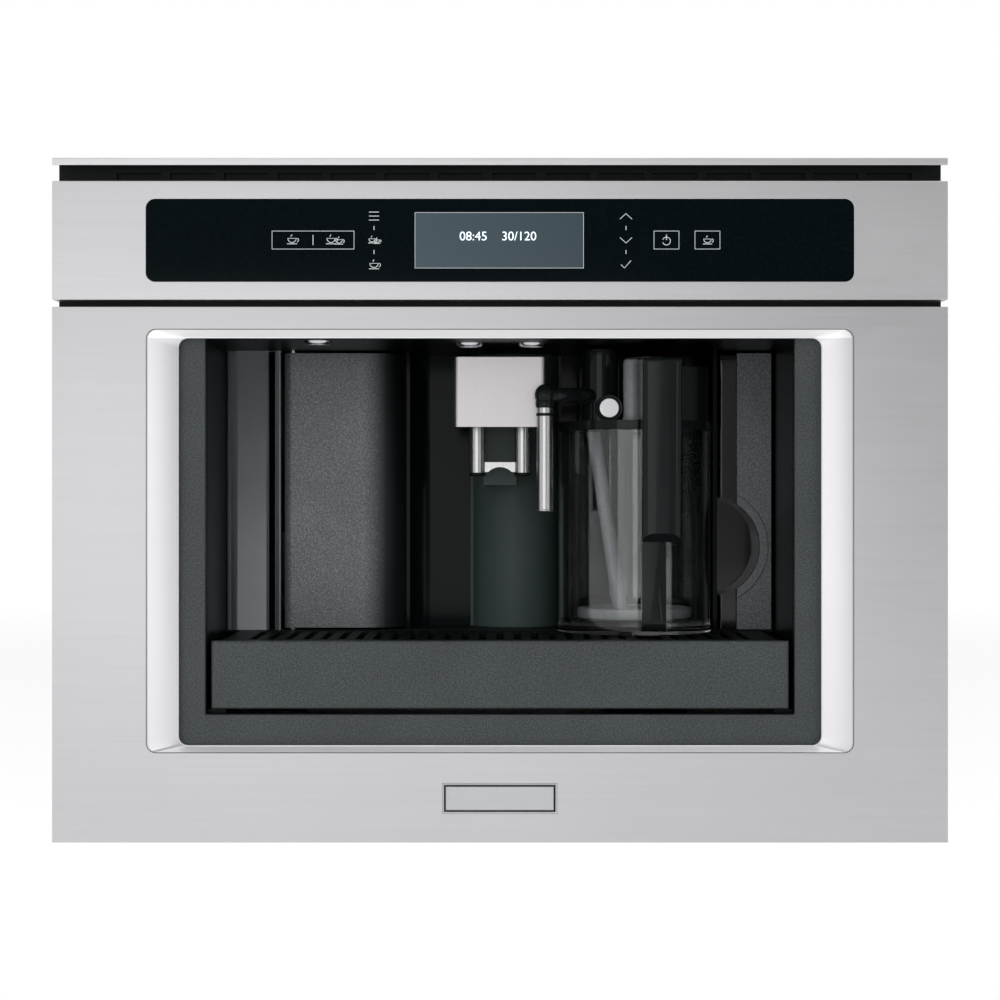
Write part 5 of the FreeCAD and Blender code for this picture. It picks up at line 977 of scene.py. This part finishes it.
def surroundings():
    """A plain studio: white to the eye, in metal and through glass, with soft light from the front."""
    world = bpy.data.worlds.new("studio")
    bpy.context.scene.world = world
    world.use_nodes = True
    sky = Finish.__new__(Finish)
    sky.tree = world.node_tree
    sky.tree.nodes.clear()
    way = sky.tree.nodes.new("ShaderNodeSeparateXYZ")
    sky.plug(way.inputs[0], sky.node("ShaderNodeTexCoord", output=0))
    x, y, z = (Link(sky, way.outputs[n]) for n in range(3))
    ahead = sky.span(y, 0.0, -1.0)
    shade = sky.span(z, -0.3, 0.8, 0.3, 0.5) + 1.6 * ahead
    soft = sky.node("ShaderNodeBackground", None, {"Color": (1, 1, 1, 1), "Strength": shade})
    mirrored = sky.node("ShaderNodeLightPath", output=3)
    clean = 1.0 - mirrored * sky.span(y, -0.15, -0.7) * sky.span(x, -0.25, 0.25, 0.32, 0.68)
    white = sky.node("ShaderNodeBackground", None, {"Color": (1, 1, 1, 1), "Strength": clean})
    mixed = sky.node("ShaderNodeMixShader", None, {0: seen_rays(sky), 1: soft, 2: white})
    out = sky.tree.nodes.new("ShaderNodeOutputWorld")
    sky.plug(out.inputs["Surface"], mixed)
    lamp("key", (-0.45, -2.6, 0.3), (0, 0, 0.2), (1.5, 0.65), 4.5)
    lamp("top", (0.2, -0.7, 2.0), (0, -0.1, 0.2), (1.6, 0.8), 4)
    lamp("edge", (1.5, -1.9, 0.5), (0.1, 0, 0.25), (0.2, 1.4), 1.5)


def camera():
    data = bpy.data.cameras.new("camera")
    data.sensor_width = 36
    data.lens = data.sensor_width * CAMERA_AWAY / (1000 * PIXEL)
    view = bpy.data.objects.new("camera", data)
    bpy.context.scene.collection.objects.link(view)
    view.location = (0, FRONT - CAMERA_AWAY, CAMERA_HIGH)
    view.rotation_euler = (math.pi / 2, 0, 0)
    bpy.context.scene.camera = view
    bpy.context.scene.view_settings.view_transform = "Standard"


# ------------------------------------------------------------------ all of it
DRESSED = {
    "front_frame": (STAMPED, 0.0005),
    "control_fascia": (STEEL_TOP, 0.0004),
    "top_trim": (STEEL_TRIM, 0.0003),
    "control_glass": (TOUCH, 0.0003),
    "front_carrier": (BLACK, 0.0),
    "bezel": (GREY, 0.0008),
    "tray_front": (GREY, 0.0006),
    "niche_liner": (NICHE, 0.0),
    "niche_back": (COLUMN, 0.0),
    "service_door": (GREY_DOOR, 0.0005),
    "tank_front": (GREY_NICHE, 0.0004),
    "drip_tray": (BLACK, 0.0003),
    "cup_grille": (GRILLE_BLACK, 0.0003),
    "grounds_bin": (BLACK, 0.0003),
    "spout_carriage": (BLACK, 0.0003),
    "spout_tubes": (TUBE_STEEL, 0.0003),
    "spout_guide": (GUIDE, 0.0004),
    "jug_container": (CLEAR, 0.0006),
    "jug_lid": (GLOSS, 0.0007),
    "milk_intake_tube": (TUBE, 0.0003),
    "milk_spout_tube": (TUBE_STEEL, 0.0004),
    "clean_button": (SATIN, 0.0008),
    "steam_nozzle": (CHROME, 0.0003),
    "hinge_pins": (CHROME, 0.0),
    "lamp_lenses": (LENS, 0.0003),
    "water_tank": (TANK, 0.0005),
    "tank_lid": (BLACK, 0.0005),
    "inner_shelf": (BLACK, 0.0),
    "base_pan": (ZINC, 0.0002),
    "side_panel_left": (ZINC, 0.0002),
    "side_panel_right": (ZINC, 0.0002),
    "rear_panel": (ZINC, 0.0002),
    "top_panel": (ZINC, 0.0002),
    "bean_lid": (BLACK, 0.0006),
    "grind_knob": (BLACK, 0.0006),
    "bean_hopper": (SMOKED, 0.0004),
    "grinder_housing": (CAST, 0.0005),
    "grinder_motor": (MOTOR, 0.0005),
    "lower_burr": (CAST, 0.0005),
    "brew_frame": (BLACK, 0.0004),
    "brew_piston": (BLACK, 0.0004),
    "brew_screw": (CHROME, 0.0003),
    "brew_motor": (MOTOR, 0.0005),
    "coffee_boiler": (CAST, 0.0008),
    "steam_boiler": (CAST, 0.0008),
    "pump": (MOTOR, 0.0006),
    "power_board": (BOARD, 0.0),
    "display_module": (BOARD, 0.0),
    "mains_inlet": (BLACK, 0.0003),
    "water_hoses": (SILICONE, 0.0),
    "feet": (RUBBER, 0.0008),
    "rail_outer_left": (SLIDE, 0.0002),
    "rail_outer_right": (SLIDE, 0.0002),
    "rail_middle_left": (SLIDE, 0.0002),
    "rail_middle_right": (SLIDE, 0.0002),
    "rail_inner_left": (SLIDE, 0.0002),
    "rail_inner_right": (SLIDE, 0.0002),
}
for node_name, (node_finish, edge_width) in DRESSED.items():
    dress(node_name, node_finish, edge_width)
panel_marks()
display()
badge()
badge_edge()
stamped_edges()
vent_shade_sheet()
vent_shade_strip()
lamp_rings()
outlet_shell()
outlet_tips()
milk_elbow()
milk_tube_details()
jug_details()
button_ring()
handle()
case_screws()
case_details()
stage()
surroundings()
camera()
